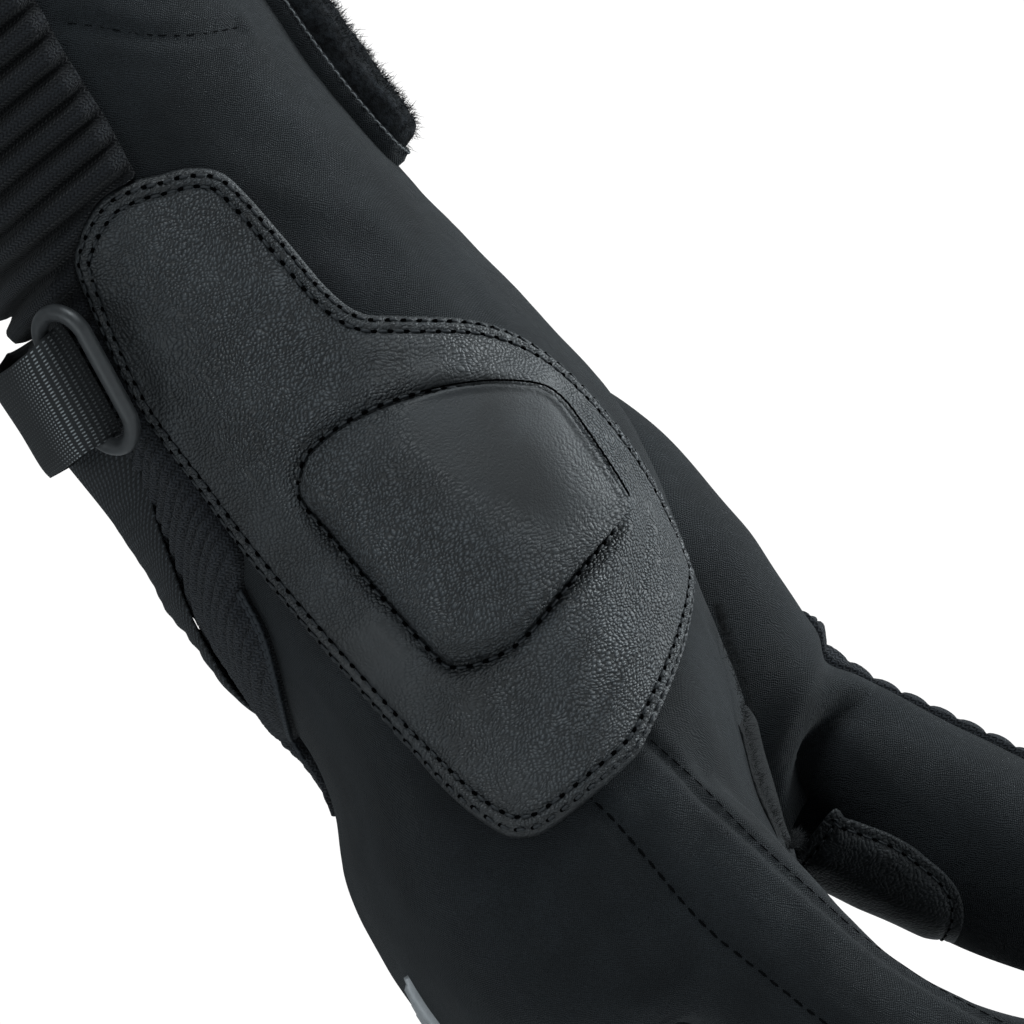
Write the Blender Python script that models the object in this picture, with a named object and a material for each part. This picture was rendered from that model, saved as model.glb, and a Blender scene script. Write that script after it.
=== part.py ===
"""A left winter motorcycle glove in its worn shape, fingers down and palm towards +X.

The origin is the middle of the cuff opening. The little finger's side faces -Y and the
thumb's side faces +Y.
"""

import math

import bmesh
import bpy
from mathutils import Vector

# Driving sizes of the hand, in metres.
CUFF_LENGTH = 0.060  # from the cuff's opening to the wrist
HAND_LENGTH = 0.109  # from the wrist to the webs between the fingers
HAND_THICKNESS = 0.060
HAND_BREADTH = 0.100
SHELL_WALL = 0.0022
FINGER_WALL = 0.0020
GAP = 0.0004  # between a piece and what it is sewn to

# Driving sizes of the fingers and the thumb.
LITTLE_LENGTH = 0.088
RING_LENGTH = 0.098
MIDDLE_LENGTH = 0.104
INDEX_LENGTH = 0.097
LITTLE_WIDTH = 0.0245
FINGER_WIDTH = 0.0250
THUMB_LENGTH = 0.119
THUMB_WIDTH = 0.029
ROUND_TIP = 0.0085  # the length over which a fingertip closes

# Driving sizes of the pieces sewn on.
LEATHER = 0.0014
PAD_HEIGHT = 0.0034
PALM_LEATHER = 0.0012
RIB_PITCH = 0.0039
RIB_HEIGHT = 0.0022
KNIT = 0.0010
THUMB_RIB_PITCH = 0.0042
THUMB_RIB_HEIGHT = 0.0016
REFLECTOR = 0.0007
BINDING_WIDTH = 0.0080
BINDING = 0.0011
WEBBING_WIDTH = 0.0150
WEBBING = 0.0013
RING_WIRE = 0.0022
RING_LENGTH_OUTSIDE = 0.0214
RING_WIDTH_OUTSIDE = 0.0100
FOLD_ROOM = 0.0014  # between the ring's bar and the webbing folded round it
TAB_LENGTH = 0.060
TAB = 0.0014
PILE = 0.0022

# How finely the shapes are faceted.
SIDES = 32  # round the hand
INNER_SIDES = 20  # round the hand's hollow
ROW_STEP = 0.0075  # between the hand's rows
ROUTE_STEPS = 48  # along a finger's middle line
FINGER_SIDES = 14
FINGER_ROWS = 12
FINGER_INNER_SIDES = 10
FINGER_INNER_ROWS = 10
THUMB_SIDES = 20
THUMB_ROWS = 26
THUMB_INNER_SIDES = 16
THUMB_INNER_ROWS = 15
WIRE_SIDES = 10
RING_END_STEPS = 8  # round each end of the oval ring

# How far along (-1 at the opening, 0 at the wrist, 1 at the webs), then how far the hand reaches to the
# back, the palm, the little finger's side and the thumb's side. Back and palm are shares of the
# thickness, the sides of the breadth.
SECTIONS = (
    # along, back, palm, little, thumb
    (-1.00, 0.440, 0.560, 0.425, 0.425),
    (-0.66, 0.395, 0.530, 0.405, 0.405),
    (-0.33, 0.355, 0.503, 0.388, 0.390),
    (0.00, 0.326, 0.490, 0.378, 0.384),
    (0.14, 0.362, 0.506, 0.392, 0.402),
    (0.28, 0.416, 0.530, 0.422, 0.440),
    (0.41, 0.442, 0.538, 0.452, 0.475),
    (0.49, 0.450, 0.510, 0.465, 0.487),
    (0.56, 0.482, 0.472, 0.476, 0.494),
    (0.64, 0.562, 0.426, 0.486, 0.498),
    (0.74, 0.602, 0.376, 0.495, 0.502),
    (0.83, 0.612, 0.304, 0.500, 0.506),
    (0.90, 0.596, 0.262, 0.498, 0.504),
    (0.96, 0.520, 0.216, 0.482, 0.488),
    (1.00, 0.400, 0.120, 0.440, 0.446),
)
SQUARENESS = 0.84  # 1 is an ellipse, and less is boxier

# Where each finger starts: across (share of the breadth), forward from the middle (share of the
# thickness), its lean towards the palm and its splay, in degrees.
FINGERS = (
    # name, across, forward, lean, splay, length, width
    ("little", -0.372, 0.010, 0.0, -3.0, LITTLE_LENGTH, LITTLE_WIDTH),
    ("ring", -0.122, -0.330, 12.0, -1.0, RING_LENGTH, FINGER_WIDTH),
    ("middle", 0.134, -0.370, 14.0, 1.0, MIDDLE_LENGTH, FINGER_WIDTH),
    ("index", 0.386, -0.340, 12.0, 3.0, INDEX_LENGTH, FINGER_WIDTH),
)
FINGER_START = 0.74  # along the hand
# How a finger curls: along its length, its bend towards the palm in degrees, and its girth as a share of
# its width.
CURL = (
    # along, bend, girth
    (0.00, 3.0, 0.80),
    (0.14, 3.0, 0.96),
    (0.28, 5.0, 1.00),
    (0.42, 9.0, 0.98),
    (0.56, 24.0, 0.98),
    (0.70, 38.0, 0.95),
    (0.84, 47.0, 0.92),
    (1.00, 53.0, 0.86),
)

TIP_TURNS = (30.0, 55.0, 76.0)  # where the rows of a round fingertip lie, in degrees

THUMB_START = (0.165, 0.17, 0.28)  # forward, across, along the hand
# How the thumb leaves the hand: along its length, its bend towards the palm, its splay, and its girth.
THUMB_CURL = (
    # along, bend, splay, girth
    (0.00, 22.0, 14.0, 1.02),
    (0.12, 15.0, 14.0, 1.20),
    (0.24, 4.0, 14.0, 1.27),
    (0.36, 2.0, 14.0, 1.23),
    (0.46, 9.0, 12.0, 1.13),
    (0.505, 18.0, 10.0, 1.07),
    (0.535, 22.0, 9.0, 0.90),
    (0.575, 24.0, 8.0, 0.92),
    (0.66, 26.0, 6.0, 0.93),
    (0.78, 27.0, 4.0, 0.92),
    (0.90, 29.0, 2.0, 0.87),
    (1.00, 31.0, 2.0, 0.78),
)

# The ribbed panel and the leather patch of the thumb: where each starts and ends along it, and round it
# in degrees from its palm side.
THUMB_RIBS = (0.47, 0.88, -37.5, 93.75)
THUMB_PATCH = (0.62, 0.82, 124.0, 259.0)

# Outlines seen from the little finger's side: forward (share of the thickness) and along (as in the
# sections).
HEEL_PATCH = (
    # forward, along
    (-0.200, -0.175),
    (-0.150, -0.238),
    (-0.055, -0.275),
    (0.075, -0.238),
    (0.150, -0.198),
    (0.193, -0.152),
    (0.203, 0.020),
    (0.212, 0.124),
    (0.285, 0.166),
    (0.410, 0.225),
    (0.475, 0.293),
    (0.560, 0.385),
    (0.560, 0.560),
    (0.480, 0.625),
    (0.400, 0.648),
    (0.295, 0.676),
    (0.142, 0.726),
    (-0.180, 0.705),
    (-0.228, 0.695),
    (-0.265, 0.620),
    (-0.275, 0.500),
    (-0.287, 0.304),
    (-0.278, 0.190),
    (-0.262, 0.060),
    (-0.215, -0.120),
)
HEEL_PATCH_INNER_EDGE = -0.140  # how far round the palm the patch reaches, as a share of the breadth
# The pad's rounded outline, seen and measured as the heel patch's.
PAD_OUTLINE = (
    # forward, along
    (-0.118, 0.270),
    (-0.060, 0.230),
    (0.060, 0.222),
    (0.190, 0.240),
    (0.325, 0.282),
    (0.405, 0.325),
    (0.430, 0.385),
    (0.434, 0.440),
    (0.400, 0.500),
    (0.300, 0.519),
    (0.150, 0.523),
    (-0.020, 0.522),
    (-0.095, 0.502),
    (-0.122, 0.440),
    (-0.126, 0.350),
)
# The pad's rings from the middle of its underside, out round its rim and in to the middle of its face:
# share of the outline's size, and height as a share of the pad's height.
PAD_RINGS = (
    # size, height
    (0.20, 0.00),
    (0.60, 0.00),
    (0.985, 0.00),
    (1.00, 0.30),
    (0.985, 0.72),
    (0.93, 0.94),
    (0.78, 1.00),
    (0.48, 1.06),
    (0.18, 1.08),
)
PAD_POINTS = 30

ACCORDION = (
    # forward, along
    (-0.900, -0.985),
    (0.120, -0.985),
    (0.104, -0.685),
    (0.078, -0.560),
    (0.050, -0.400),
    (0.040, -0.294),
    (-0.020, -0.200),
    (-0.100, 0.000),
    (-0.235, 0.150),
    (-0.332, 0.298),
    (-0.357, 0.361),
    (-0.427, 0.447),
    (-0.470, 0.500),
    (-0.900, 0.510),
)
ACCORDION_THUMB_EDGE = 0.24  # how far it reaches past the middle of the back, as a share of the breadth

# Outlines seen from the palm or the back: across (share of the breadth) and along.
PALM_PANEL = (
    # across, along
    (-0.100, 0.672),
    (0.040, 0.655),
    (0.120, 0.780),
    (0.300, 0.880),
    (0.290, 0.925),
    (-0.220, 0.925),
    (-0.240, 0.860),
    (-0.220, 0.770),
    (-0.170, 0.700),
)
PANEL_CUT_DEPTH = 0.080  # how far past the hand's middle these outlines reach, as a share of the breadth
REFLECTOR_OUTLINE = (
    # across, along
    (-0.235, 0.765),
    (-0.060, 0.905),
    (-0.215, 0.905),
)
CLOSURE_TAB = (
    # across, along
    (-0.165, -0.840),
    (0.330, -0.840),
    (0.330, -0.120),
    (-0.060, 0.035),
    (-0.130, -0.020),
    (-0.165, -0.220),
)
PILE_INSET = 0.0016

# The webbing: the angle round the wrist where it is sewn in, where it starts to rise over its own end,
# and the ring.
STRAP_SEWN_ANGLE = 118.0
STRAP_RISE_ANGLE = 186.0
STRAP_END_ANGLE = 192.0
RING_ANGLE = 222.0
RING_FAR_ANGLE = 233.5
RING_TILT = -15.0
STRAP_OVERLAP = 10.0  # how far the folded end reaches back over the strap, in degrees
STRAP_STEP = 8.0
BACK_STRAP_ROUTE = (
    # across, along
    (-0.110, 0.140),
    (0.025, 0.215),
    (0.155, 0.285),
    (0.280, 0.370),
    (0.385, 0.475),
)

RIBBED = KNIT + RIB_HEIGHT


def smooth(rows, along):
    """The row of a table at this place, on a smooth curve through its rows."""
    rows = [tuple(map(float, row)) for row in rows]
    i = 0
    while i < len(rows) - 2 and along > rows[i + 1][0]:
        i += 1
    a, b = rows[i], rows[i + 1]
    before, after = rows[max(i - 1, 0)], rows[min(i + 2, len(rows) - 1)]
    span = b[0] - a[0]
    t = min(max((along - a[0]) / span, 0.0), 1.0)
    found = []
    for column in range(1, len(a)):
        start = (b[column] - before[column]) / (b[0] - before[0]) * span
        end = (after[column] - a[column]) / (after[0] - a[0]) * span
        found.append(
            (2 * t**3 - 3 * t**2 + 1) * a[column]
            + (t**3 - 2 * t**2 + t) * start
            + (3 * t**2 - 2 * t**3) * b[column]
            + (t**3 - t**2) * end
        )
    return found


def height(along):
    """The height of a place along the glove: -1 at the opening, 0 at the wrist, 1 at the webs."""
    return -CUFF_LENGTH - along * (CUFF_LENGTH if along < 0 else HAND_LENGTH)


def place(z):
    """How far along the glove a height is."""
    return -(z + CUFF_LENGTH) / (CUFF_LENGTH if z > -CUFF_LENGTH else HAND_LENGTH)


def power(value, exponent):
    return math.copysign(abs(value) ** exponent, value)


def hand_point(angle, z, offset=0.0):
    """A point of the hand's surface. The angle is 0 at the palm, 90 at the thumb's side, 180 at the back."""
    back, palm, little, thumb = smooth(SECTIONS, max(place(z), -1.0))
    middle_x = (palm - back) / 2 * HAND_THICKNESS
    middle_y = (thumb - little) / 2 * HAND_BREADTH
    half_x = (palm + back) / 2 * HAND_THICKNESS + offset
    half_y = (thumb + little) / 2 * HAND_BREADTH + offset
    across = power(math.sin(math.radians(angle)), SQUARENESS)
    forward = power(math.cos(math.radians(angle)), SQUARENESS)
    return Vector((middle_x + half_x * forward, middle_y + half_y * across, z))


def finish(name, bm, colour, roughness, metallic=0.0, smooth_angle=40.0):
    """Makes a named object with its own material from a mesh."""
    bmesh.ops.recalc_face_normals(bm, faces=bm.faces)
    mesh = bpy.data.meshes.new(name)
    bm.to_mesh(mesh)
    bm.free()
    obj = bpy.data.objects.new(name, mesh)
    bpy.context.scene.collection.objects.link(obj)
    material = bpy.data.materials.new(name)
    material.use_nodes = True
    shader = material.node_tree.nodes["Principled BSDF"]
    shader.inputs["Base Color"].default_value = (*colour, 1.0)
    shader.inputs["Roughness"].default_value = roughness
    shader.inputs["Metallic"].default_value = metallic
    mesh.materials.append(material)
    mesh.shade_smooth()
    mesh.set_sharp_from_angle(angle=math.radians(smooth_angle))
    return obj


def helper(name, bm):
    """A hidden shape that another piece is cut with."""
    obj = finish(name, bm, (0.5, 0.5, 0.5), 1.0)
    obj.hide_render = True
    obj.display_type = "WIRE"
    return obj


def cut(obj, operation, other, solver="EXACT"):
    modifier = obj.modifiers.new(operation.title() + " " + other.name, "BOOLEAN")
    modifier.operation = operation
    modifier.solver = solver
    modifier.object = other


def skin(rings, closed_loop=False):
    """A closed mesh through rings of points, capped at both ends or joined end to start."""
    bm = bmesh.new()
    made = [[bm.verts.new(point) for point in ring] for ring in rings]
    pairs = list(zip(made, made[1:]))
    if closed_loop:
        pairs.append((made[-1], made[0]))
    else:
        bm.faces.new(made[0])
        bm.faces.new(made[-1])
    for one, two in pairs:
        for i in range(len(one)):
            j = (i + 1) % len(one)
            bm.faces.new((one[i], one[j], two[j], two[i]))
    return bm


def hand_solid(offset, sides=SIDES, above=0.0, step=ROW_STEP, ribs=0.0):
    """The hand as one closed solid, grown by an offset and lifted past the opening by a length."""
    bottom = height(1.0) - offset
    count = max(2, round(-bottom / step))
    heights = [bottom * i / count for i in range(count + 1)]
    if above:
        heights.insert(0, above)
    rings = []
    for i, z in enumerate(heights):
        swell = ribs if i % 2 else 0.0
        at_height = max(z, height(1.0))
        ring = [hand_point(360 * k / sides, at_height, offset + swell) for k in range(sides)]
        for point in ring:
            point.z = z
        rings.append(ring)
    return skin(rings)


def route(table, start, length, lean=0.0, splay=None):
    """Points, directions and girths along a finger, from the bends in its table."""
    point = Vector(start)
    found = []
    for i in range(ROUTE_STEPS + 1):
        along = i / ROUTE_STEPS
        values = smooth(table, along)
        bend = math.radians(values[0] + lean)
        side = math.radians(splay if splay is not None else values[1])
        direction = Vector(
            (math.sin(bend) * math.cos(side), math.sin(side), -math.cos(bend) * math.cos(side))
        )
        found.append((point.copy(), direction, values[-1]))
        point = point + direction * (length / ROUTE_STEPS)
    return found


def tube(stations, width, offset, sides, rows):
    """A finger as one closed solid with a round tip, grown by an offset."""
    length = sum((b[0] - a[0]).length for a, b in zip(stations, stations[1:]))
    body_end = 1 - ROUND_TIP / length
    body_rows = rows - len(TIP_TURNS)
    angles = [360 * k / sides for k in range(sides)]
    rings = []
    for i in range(body_rows):
        along = body_end * i / (body_rows - 1)
        rings.append(tube_ring(stations, along, width, offset, angles))
    for turn in TIP_TURNS:
        share = math.cos(math.radians(turn))
        ahead = math.sin(math.radians(turn))
        rings.append(tube_ring(stations, body_end, width, offset, angles, share, ahead))
    return skin(rings)


def tube_ring(stations, along, width, offset, angles, share=1.0, ahead=0.0):
    """Points round a finger at these angles, drawn in to a share of its girth and moved into the tip."""
    place_on = along * (len(stations) - 1)
    i = min(int(place_on), len(stations) - 2)
    t = place_on - i
    point = stations[i][0].lerp(stations[i + 1][0], t)
    direction = stations[i][1].lerp(stations[i + 1][1], t).normalized()
    radius = (stations[i][2] * (1 - t) + stations[i + 1][2] * t) * width / 2
    palmward = Vector((0, 1, 0)).cross(-direction).normalized()
    sideways = direction.cross(palmward).normalized() * -1
    centre = point + direction * ahead * (ROUND_TIP + offset)
    reach = (radius + offset) * share
    ring = []
    for angle in map(math.radians, angles):
        ring.append(centre + (palmward * math.cos(angle) + sideways * math.sin(angle)) * reach)
    return ring


def finger_stations():
    """Each finger's stations and width, by its name."""
    found = {}
    for name, across, forward, lean, splay, length, width in FINGERS:
        start = (forward * HAND_THICKNESS, across * HAND_BREADTH, height(FINGER_START))
        found[name] = (route(CURL, start, length, lean, splay), width)
    return found


def thumb_stations():
    forward, across, along = THUMB_START
    start = (forward * HAND_THICKNESS, across * HAND_BREADTH, height(along))
    return route(THUMB_CURL, start, THUMB_LENGTH)


def outline_prism(name, outline, side, inner_edge=0.0):
    """A hidden prism of an outline, from inside the glove out past one side of it."""
    reach = HAND_BREADTH
    deep = PANEL_CUT_DEPTH * HAND_BREADTH
    points = []
    for first, along in outline:
        z = height(along)
        if side == "little":
            x = first * HAND_THICKNESS
            points.append(((x, -reach, z), (x, inner_edge * HAND_BREADTH, z)))
        elif side == "palm":
            points.append(((-deep, first * HAND_BREADTH, z), (reach, first * HAND_BREADTH, z)))
        else:
            points.append(((-reach, first * HAND_BREADTH, z), (-deep, first * HAND_BREADTH, z)))
    return helper(name, skin([[a for a, _ in points], [b for _, b in points]]))


def sewn_layer(name, outline, side, under, thickness, colour, roughness, inner_edge=0.0):
    """A layer over the hand: the part of a grown hand inside an outline, less what lies under it."""
    obj = finish(name, hand_solid(under + thickness), colour, roughness)
    cut(obj, "INTERSECT", outline_prism(name + "_outline", outline, side, inner_edge))
    cut(obj, "DIFFERENCE", helper(name + "_under", hand_solid(under)))
    return obj


def make_hand_shell():
    """The soft shell of the hand and its four fingers, hollow and open at the cuff."""
    obj = finish("hand_shell", hand_solid(0.0), (0.016, 0.018, 0.020), 0.72)
    inside = []
    for name, (stations, width) in finger_stations().items():
        outside = tube(stations, width, 0.0, FINGER_SIDES, FINGER_ROWS)
        cut(obj, "UNION", helper(name + "_outside", outside))
        hollow = tube(stations, width, -FINGER_WALL, FINGER_INNER_SIDES, FINGER_INNER_ROWS)
        inside.append(helper(name + "_inside", hollow))
    hollow = hand_solid(-SHELL_WALL, INNER_SIDES, above=BINDING_WIDTH, step=2 * ROW_STEP)
    cut(obj, "DIFFERENCE", helper("hand_inside", hollow))
    for tool in inside:
        cut(obj, "DIFFERENCE", tool)
    return obj


def make_thumb_shell(hand):
    """The thumb, set into the hand: both walls are pierced by the thumb's hollow."""
    stations = thumb_stations()
    hollow = tube(stations, THUMB_WIDTH, -FINGER_WALL, THUMB_INNER_SIDES, THUMB_INNER_ROWS)
    inside = helper("thumb_inside", hollow)
    cut(hand, "DIFFERENCE", inside)
    outside = tube(stations, THUMB_WIDTH, 0.0, THUMB_SIDES, THUMB_ROWS)
    obj = finish("thumb_shell", outside, (0.016, 0.018, 0.020), 0.72)
    cut(obj, "DIFFERENCE", helper("hand_grown", hand_solid(GAP)))
    cut(obj, "DIFFERENCE", inside)
    return obj


def make_heel_patch():
    """The leather patch over the heel of the hand, on the little finger's side."""
    colour = (0.020, 0.022, 0.024)
    return sewn_layer("heel_patch", HEEL_PATCH, "little", GAP, LEATHER, colour, 0.45, HEEL_PATCH_INNER_EDGE)


def make_wrist_accordion():
    """The ribbed stretch panel round the back of the wrist."""
    step = RIB_PITCH / 2
    ribbed = hand_solid(GAP + KNIT, step=step, ribs=RIB_HEIGHT)
    obj = finish("wrist_accordion", ribbed, (0.008, 0.009, 0.010), 0.9, smooth_angle=70.0)
    cut(obj, "INTERSECT", accordion_prism())
    cut(obj, "DIFFERENCE", helper("accordion_under", hand_solid(GAP)))
    cut(obj, "DIFFERENCE", helper("heel_patch_room", heel_patch_room()), "MANIFOLD")
    return obj


def accordion_prism():
    far = ACCORDION_THUMB_EDGE * HAND_BREADTH
    near = [(first * HAND_THICKNESS, -HAND_BREADTH, height(along)) for first, along in ACCORDION]
    past = [(x, far, z) for x, _, z in near]
    return helper("accordion_outline", skin([near, past]))


def heel_patch_room():
    """The heel patch's outline, a little wider, so that the ribs stop short of the leather."""
    middle_x = sum(first for first, _ in HEEL_PATCH) / len(HEEL_PATCH) * HAND_THICKNESS
    middle_z = sum(height(along) for _, along in HEEL_PATCH) / len(HEEL_PATCH)
    rings = [[], []]
    for first, along in HEEL_PATCH:
        out = Vector((first * HAND_THICKNESS - middle_x, 0, height(along) - middle_z))
        grown = out + out.normalized() * GAP * 1.5
        for ring, y in zip(rings, (-HAND_BREADTH, 0.0)):
            ring.append((middle_x + grown.x, y, middle_z + grown.z))
    return skin(rings)


def little_side(x, z, offset):
    """The point of the little finger's side of the hand that lies at this forward distance and height."""
    low, high = 180.0, 360.0
    for _ in range(40):
        angle = (low + high) / 2
        if hand_point(angle, z, offset).x < x:
            low = angle
        else:
            high = angle
    return hand_point(angle, z, offset)


def make_slider_pad():
    """The padded leather piece on the heel patch, with a raised, domed face."""
    outline = smooth_outline(PAD_OUTLINE, PAD_POINTS)
    middle = sum(outline, Vector((0, 0))) / len(outline)
    under = GAP + LEATHER + 2 * GAP
    rings = []
    for size, rise in PAD_RINGS:
        points = [middle + (point - middle) * size for point in outline]
        rings.append([little_side(x, z, under + rise * PAD_HEIGHT) for x, z in points])
    return finish("slider_pad", skin(rings), (0.020, 0.022, 0.024), 0.45)


def smooth_outline(outline, count):
    """Points spaced along a smooth closed curve through an outline: forward distance and height."""
    corners = [Vector((first * HAND_THICKNESS, height(along))) for first, along in outline]
    size = len(corners)
    found = []
    for k in range(count):
        place_on = k * size / count
        i = int(place_on)
        t = place_on - i
        before, a, b, after = (corners[(i + step) % size] for step in (-1, 0, 1, 2))
        square = (2 * before - 5 * a + 4 * b - after) * t**2
        cube = (3 * a - before - 3 * b + after) * t**3
        found.append(a + ((b - before) * t + square + cube) / 2)
    return found


def make_palm_panel(stations):
    """The grip panel on the palm, cut clear of the thumb."""
    obj = sewn_layer("palm_panel", PALM_PANEL, "palm", GAP, PALM_LEATHER, (0.012, 0.013, 0.014), 0.8)
    room = tube(stations, THUMB_WIDTH, 3 * GAP, THUMB_SIDES, THUMB_ROWS)
    cut(obj, "DIFFERENCE", helper("thumb_room", room))
    for name, (finger, width) in finger_stations().items():
        room = tube(finger, width, GAP, FINGER_SIDES, FINGER_ROWS)
        cut(obj, "DIFFERENCE", helper(name + "_room", room), "MANIFOLD")
    return obj


def thumb_band(stations, span, sides, bottom, tops):
    """A closed layer round part of the thumb: a row for each top height, over a span along and round it."""
    first, last, start_angle, end_angle = span
    angles = [start_angle + (end_angle - start_angle) * k / (sides - 1) for k in range(sides)]
    rings = []
    for i, top in enumerate(tops):
        along = first + (last - first) * i / (len(tops) - 1)
        high = tube_ring(stations, along, THUMB_WIDTH, top, angles)
        low = tube_ring(stations, along, THUMB_WIDTH, bottom, angles)
        rings.append(high + low[::-1])
    return skin(rings)


def make_thumb_accordion(stations):
    """The ribbed stretch panel along the outside of the thumb."""
    first, last = THUMB_RIBS[:2]
    count = 2 * round(THUMB_LENGTH * (last - first) / THUMB_RIB_PITCH) + 1
    low = 3 * GAP + KNIT / 2
    tops = [low + (THUMB_RIB_HEIGHT if i % 2 else 0.0) for i in range(count)]
    bm = thumb_band(stations, THUMB_RIBS, 8, 2 * GAP, tops)
    return finish("thumb_accordion", bm, (0.008, 0.009, 0.010), 0.9, smooth_angle=70.0)


def make_thumb_patch(stations):
    """The leather patch on the inside of the thumb."""
    bm = thumb_band(stations, THUMB_PATCH, 10, 2 * GAP, [2 * GAP + LEATHER] * 9)
    return finish("thumb_patch", bm, (0.020, 0.022, 0.024), 0.45)


def ring_frame():
    """The oval ring's middle, its two axes and its half length and half width along the wire."""
    z = height(0.0)
    bar = hand_point(RING_ANGLE, z, bar_offset())
    far = hand_point(RING_FAR_ANGLE, z, bar_offset() - RING_WIRE / 3)
    across = (far - bar).normalized()
    up = Vector((0, 0, 1))
    tilt = math.radians(RING_TILT)
    long_axis = (up * math.cos(tilt) - across * math.sin(tilt)).normalized()
    wide_axis = (across * math.cos(tilt) + up * math.sin(tilt)).normalized()
    half_width = (RING_WIDTH_OUTSIDE - RING_WIRE) / 2
    half_length = (RING_LENGTH_OUTSIDE - RING_WIRE) / 2
    return bar + across * half_width, long_axis, wide_axis, half_length, half_width


def strap_offset():
    """How far the middle of the webbing's thickness lies off the hand, over the ribs."""
    return RIBBED + 3 * GAP + WEBBING / 2


def bar_offset():
    """How far the ring's bar stands off the hand, with the folded webbing under it."""
    return strap_offset() + WEBBING / 2 + FOLD_ROOM + RING_WIRE / 2


def make_oval_ring():
    middle, long_axis, wide_axis, half_length, half_width = ring_frame()
    straight = half_length - half_width
    path = []
    for end in (1, -1):
        for k in range(RING_END_STEPS + 1):
            turn = math.radians(180 * k / RING_END_STEPS) + (0 if end > 0 else math.pi)
            along = straight * end + half_width * math.sin(turn)
            path.append((half_width * math.cos(turn), along))
    rings = []
    normal = wide_axis.cross(long_axis).normalized()
    for i, (wide, along) in enumerate(path):
        before, after = path[i - 1], path[(i + 1) % len(path)]
        tangent = (wide_axis * (after[0] - before[0]) + long_axis * (after[1] - before[1])).normalized()
        side = tangent.cross(normal).normalized()
        centre = middle + wide_axis * wide + long_axis * along
        ring = []
        for k in range(WIRE_SIDES):
            angle = 2 * math.pi * k / WIRE_SIDES
            ring.append(centre + (side * math.cos(angle) + normal * math.sin(angle)) * RING_WIRE / 2)
        rings.append(ring)
    return finish("oval_ring", skin(rings, closed_loop=True), (0.012, 0.012, 0.013), 0.4)


def ribbon(centre_line, thickness):
    """The outline of a strip of this thickness along a line of points in the wrist's plane."""
    left, right = [], []
    for i, point in enumerate(centre_line):
        ahead = centre_line[min(i + 1, len(centre_line) - 1)]
        behind = centre_line[max(i - 1, 0)]
        run = (ahead - behind).normalized()
        side = Vector((-run.y, run.x, 0)) * thickness / 2
        left.append(point + side)
        right.append(point - side)
    return left + right[::-1]


def make_wrist_strap():
    """The webbing round the back of the wrist, folded round the ring's bar and back on itself."""
    half = WEBBING_WIDTH / 2
    bm = skin([strap_outline(half), strap_outline(-half)])
    return finish("wrist_strap", bm, (0.03, 0.032, 0.034), 0.8)


def strap_outline(up):
    """The wrist strap's outline at this height over its middle. Its fold leans with the ring."""
    z = height(0.0) + up
    middle_bar = hand_point(RING_ANGLE, height(0.0), bar_offset())
    _, long_axis, _, _, _ = ring_frame()
    lean = middle_bar + long_axis * up / long_axis.z - hand_point(RING_ANGLE, z, bar_offset())
    low = strap_offset()
    wrap = bar_offset() - low
    high = bar_offset() + wrap
    line = []
    angle = STRAP_SEWN_ANGLE
    while angle < STRAP_RISE_ANGLE - STRAP_STEP:
        line.append(hand_point(angle, z, low))
        angle += STRAP_STEP
    for k in range(1, 6):
        share = k / 5
        eased = share * share * (3 - 2 * share)
        rise = (high - low) * min(1.0, eased * 1.5)
        turn = angle + (RING_ANGLE - STRAP_STEP - angle) * share
        line.append(hand_point(turn, z, low + rise) + lean * share)
    bar = hand_point(RING_ANGLE, z, bar_offset()) + lean
    out = (hand_point(RING_ANGLE, z, high) + lean - bar).normalized()
    forward = Vector((-out.y, out.x, 0))
    for turn in range(0, 181, 30):
        a = math.radians(turn)
        line.append(bar + (out * math.cos(a) + forward * math.sin(a)) * wrap)
    for k in range(1, 4):
        share = k / 3
        angle = RING_ANGLE + (STRAP_END_ANGLE + STRAP_OVERLAP - RING_ANGLE) * share
        line.append(hand_point(angle, z, low) + lean * (1 - share))
    return ribbon(line, WEBBING)


def make_back_strap():
    """The webbing that runs from under the ring down the back of the hand."""
    low = GAP + RIBBED + GAP
    rings = []
    count = 15
    rows = [(i / (len(BACK_STRAP_ROUTE) - 1), *row) for i, row in enumerate(BACK_STRAP_ROUTE)]
    for i in range(count + 1):
        share = i / count
        across, along = smooth(rows, share)
        before = smooth(rows, max(share - 0.5 / count, 0))
        after = smooth(rows, min(share + 0.5 / count, 1))
        run_y = (after[0] - before[0]) * HAND_BREADTH
        run_z = height(after[1]) - height(before[1])
        size = math.hypot(run_y, run_z)
        ring = []
        for reach, lift in ((-1, 0), (-0.33, 0), (0.33, 0), (1, 0), (1, 1), (0.33, 1), (-0.33, 1), (-1, 1)):
            y = across * HAND_BREADTH - run_z / size * reach * WEBBING_WIDTH / 2
            z = height(along) + run_y / size * reach * WEBBING_WIDTH / 2
            ring.append(back_side(y, z, low + lift * WEBBING))
        rings.append(ring)
    return finish("back_strap", skin(rings), (0.016, 0.017, 0.018), 0.8)


def back_side(y, z, offset):
    """The point of the hand's back that lies this far across and at this height."""
    low, high = 90.0, 270.0
    for _ in range(40):
        angle = (low + high) / 2
        if hand_point(angle, z, offset).y > y:
            low = angle
        else:
            high = angle
    return hand_point(angle, z, offset)


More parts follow.
